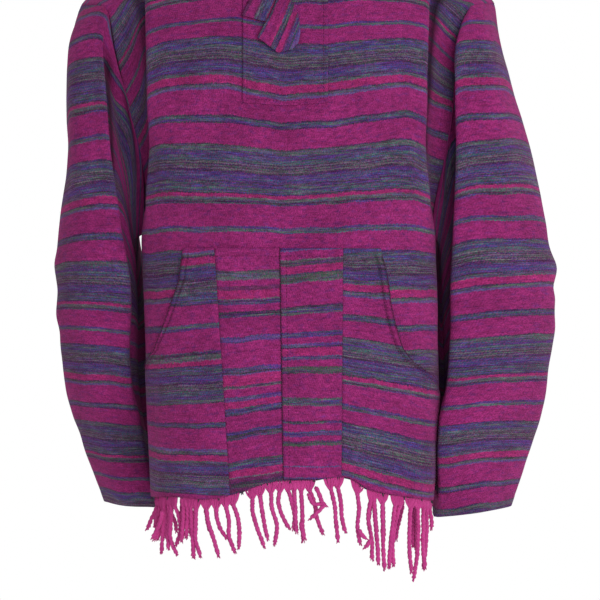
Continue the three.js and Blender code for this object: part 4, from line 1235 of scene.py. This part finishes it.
def make_stitches():
    bm = bmesh.new()
    for side in (-1, 1):
        sew(bm, lined(lambda t: (u_at(side * (PLACKET_HALF - 5), 112 + 160 * t), 112 + 160 * t),
                      LIFT + 0.15, 60))
    sew(bm, lined(lambda t: (u_at(-44 + 88 * t, PLACKET_BOTTOM_V - 5), PLACKET_BOTTOM_V - 5),
                  LIFT + 0.15, 40))
    sew(bm, lined(lambda t: (-0.52 + 0.985 * t, POCKET_TOP_V + 9), LIFT + 0.4, 90))
    for opening, way, gain in ((OPENING_LEFT, 1, 1), (OPENING_RIGHT, -1, 1.4)):
        # The row 0.8 mm in from each opening's edge is stitching whose dark thread also draws the
        # edge's shadow line, so it is partly painted shadow.
        for inset, wide in ((0.8, 1.3), (8, 1.0)):
            spots = []
            for i in range(2, 50):
                u, v = between(opening, i / 60)
                turn = inset * step_between(0.6, 0.9, i / 60)
                spots.append(on_body(u + way * (inset - 0.5 * turn) / HALF_PANEL, v + turn, True,
                                     LIFT + gain * mouth(inset, i / 120) + 0.2))
            sew(bm, spots, wide)
    sew(bm, lined(lambda t: (seam_where(POCKET_SEAMS[1], t)[0] + 8 / HALF_PANEL,
                             seam_where(POCKET_SEAMS[1], t)[1]), LIFT + 0.8, 70))
    for side in (-1, 1):
        for front in (True, False):
            sew(bm, [on_body(side * u, top_of(u, front) + 9, front, 0.2)
                     for u in (0.02 + 0.41 * i / 60 for i in range(61))])
    return joined_piece("stitches", bm, yarn_material("dark magenta thread", "#561a42", "#331028"))


def make_overcast():
    bm = bmesh.new()
    spots = lined(lambda t: seam_where(POCKET_SEAMS[1], t), LIFT + 0.5, 90)
    for (a, out), (b, _) in zip(spots, spots[1:]):
        run = (b - a).normalized()
        across = out.cross(run).normalized()
        slant = (run + across * 0.9).normalized() * 1.5
        tube(bm, [a - slant, a + out * 0.45, a + slant], [0.3, 0.42, 0.3], 4)
    return joined_piece("pocket_overcast", bm,
                        yarn_material("dark overcast thread", "#3c3040", "#241d28"))


stitches = make_stitches()
overcast = make_overcast()


# ---- Floor ----
# A plain pale studio floor with a matt face. It lies well below the hem and isn't part of the
# garment.
FLOOR_Z = -1.42
bm = bmesh.new()
bmesh.ops.create_grid(bm, x_segments=2, y_segments=2, size=2.6)
bmesh.ops.translate(bm, verts=bm.verts, vec=(0, 0.4, FLOOR_Z))
floor_mesh = bpy.data.meshes.new("floor")
bm.to_mesh(floor_mesh)
bm.free()
floor_paint = bpy.data.materials.new("pale floor")
floor_paint.use_nodes = True
floor_paint.node_tree.nodes.clear()
floor_shader = add_node(floor_paint.node_tree, "ShaderNodeBsdfPrincipled", None, {
    "Base Color": linear("#f2f1ef"), "Roughness": 0.8, "Specular IOR Level": 0.2})
add_node(floor_paint.node_tree, "ShaderNodeOutputMaterial", None, {0: floor_shader.outputs[0]})
floor_mesh.materials.append(floor_paint)
floor = bpy.data.objects.new("floor", floor_mesh)
bpy.context.scene.collection.objects.link(floor)


# ---- Light and camera ----
# White surroundings, dimmer in front of the garment and to its left, a broad soft light from the
# front's right, a weaker one from straight ahead to fill it, and a level camera.
world = bpy.data.worlds.new("white studio")
bpy.context.scene.world = world
world.use_nodes = True
tree = world.node_tree
tree.nodes.clear()
ways = add_node(tree, "ShaderNodeSeparateXYZ", None,
                {0: add_node(tree, "ShaderNodeTexCoord").outputs["Generated"]}).outputs
ahead = add_node(tree, "ShaderNodeMapRange", {"interpolation_type": "SMOOTHSTEP"},
                 {0: ways[1], 1: 0.15, 2: -0.25, 3: 0.0, 4: 1.0}).outputs[0]
left = add_node(tree, "ShaderNodeMapRange", {"interpolation_type": "SMOOTHSTEP"},
                {0: ways[0], 1: 0.8, 2: -0.8, 3: 0.44, 4: 0.84}).outputs[0]
dim = add_node(tree, "ShaderNodeMath", {"operation": "MULTIPLY"}, {0: ahead, 1: left}).outputs[0]
level = add_node(tree, "ShaderNodeMath", {"operation": "SUBTRACT"}, {0: 1.0, 1: dim}).outputs[0]
sky = add_node(tree, "ShaderNodeBackground", None, {"Color": (1, 1, 1, 1), "Strength": level})
add_node(tree, "ShaderNodeOutputWorld", None, {0: sky.outputs[0]})
bpy.context.scene.view_settings.view_transform = "Standard"


def soft_light(name, place, aim, size, watts):
    lamp = bpy.data.lights.new(name, "AREA")
    lamp.shape = "SQUARE"
    lamp.size = size
    lamp.energy = watts
    obj = bpy.data.objects.new(name, lamp)
    bpy.context.scene.collection.objects.link(obj)
    obj.location = place
    obj.rotation_euler = (Vector(aim) - Vector(place)).to_track_quat("-Z", "Y").to_euler()


soft_light("key", (0.75, -2.1, 0.0), (0, 0, -0.5), 1.2, 22)
soft_light("fill", (0.1, -2.9, -0.4), (0, 0, -0.45), 0.8, 5.5)

camera = bpy.data.objects.new("camera", bpy.data.cameras.new("camera"))
bpy.context.scene.collection.objects.link(camera)
camera.data.lens = 130
camera.data.sensor_width = 36
camera.data.clip_end = 30
camera.location = (0.0168, -2.6, -0.456)
camera.rotation_euler = (math.pi / 2, 0, 0)
bpy.context.scene.camera = camera
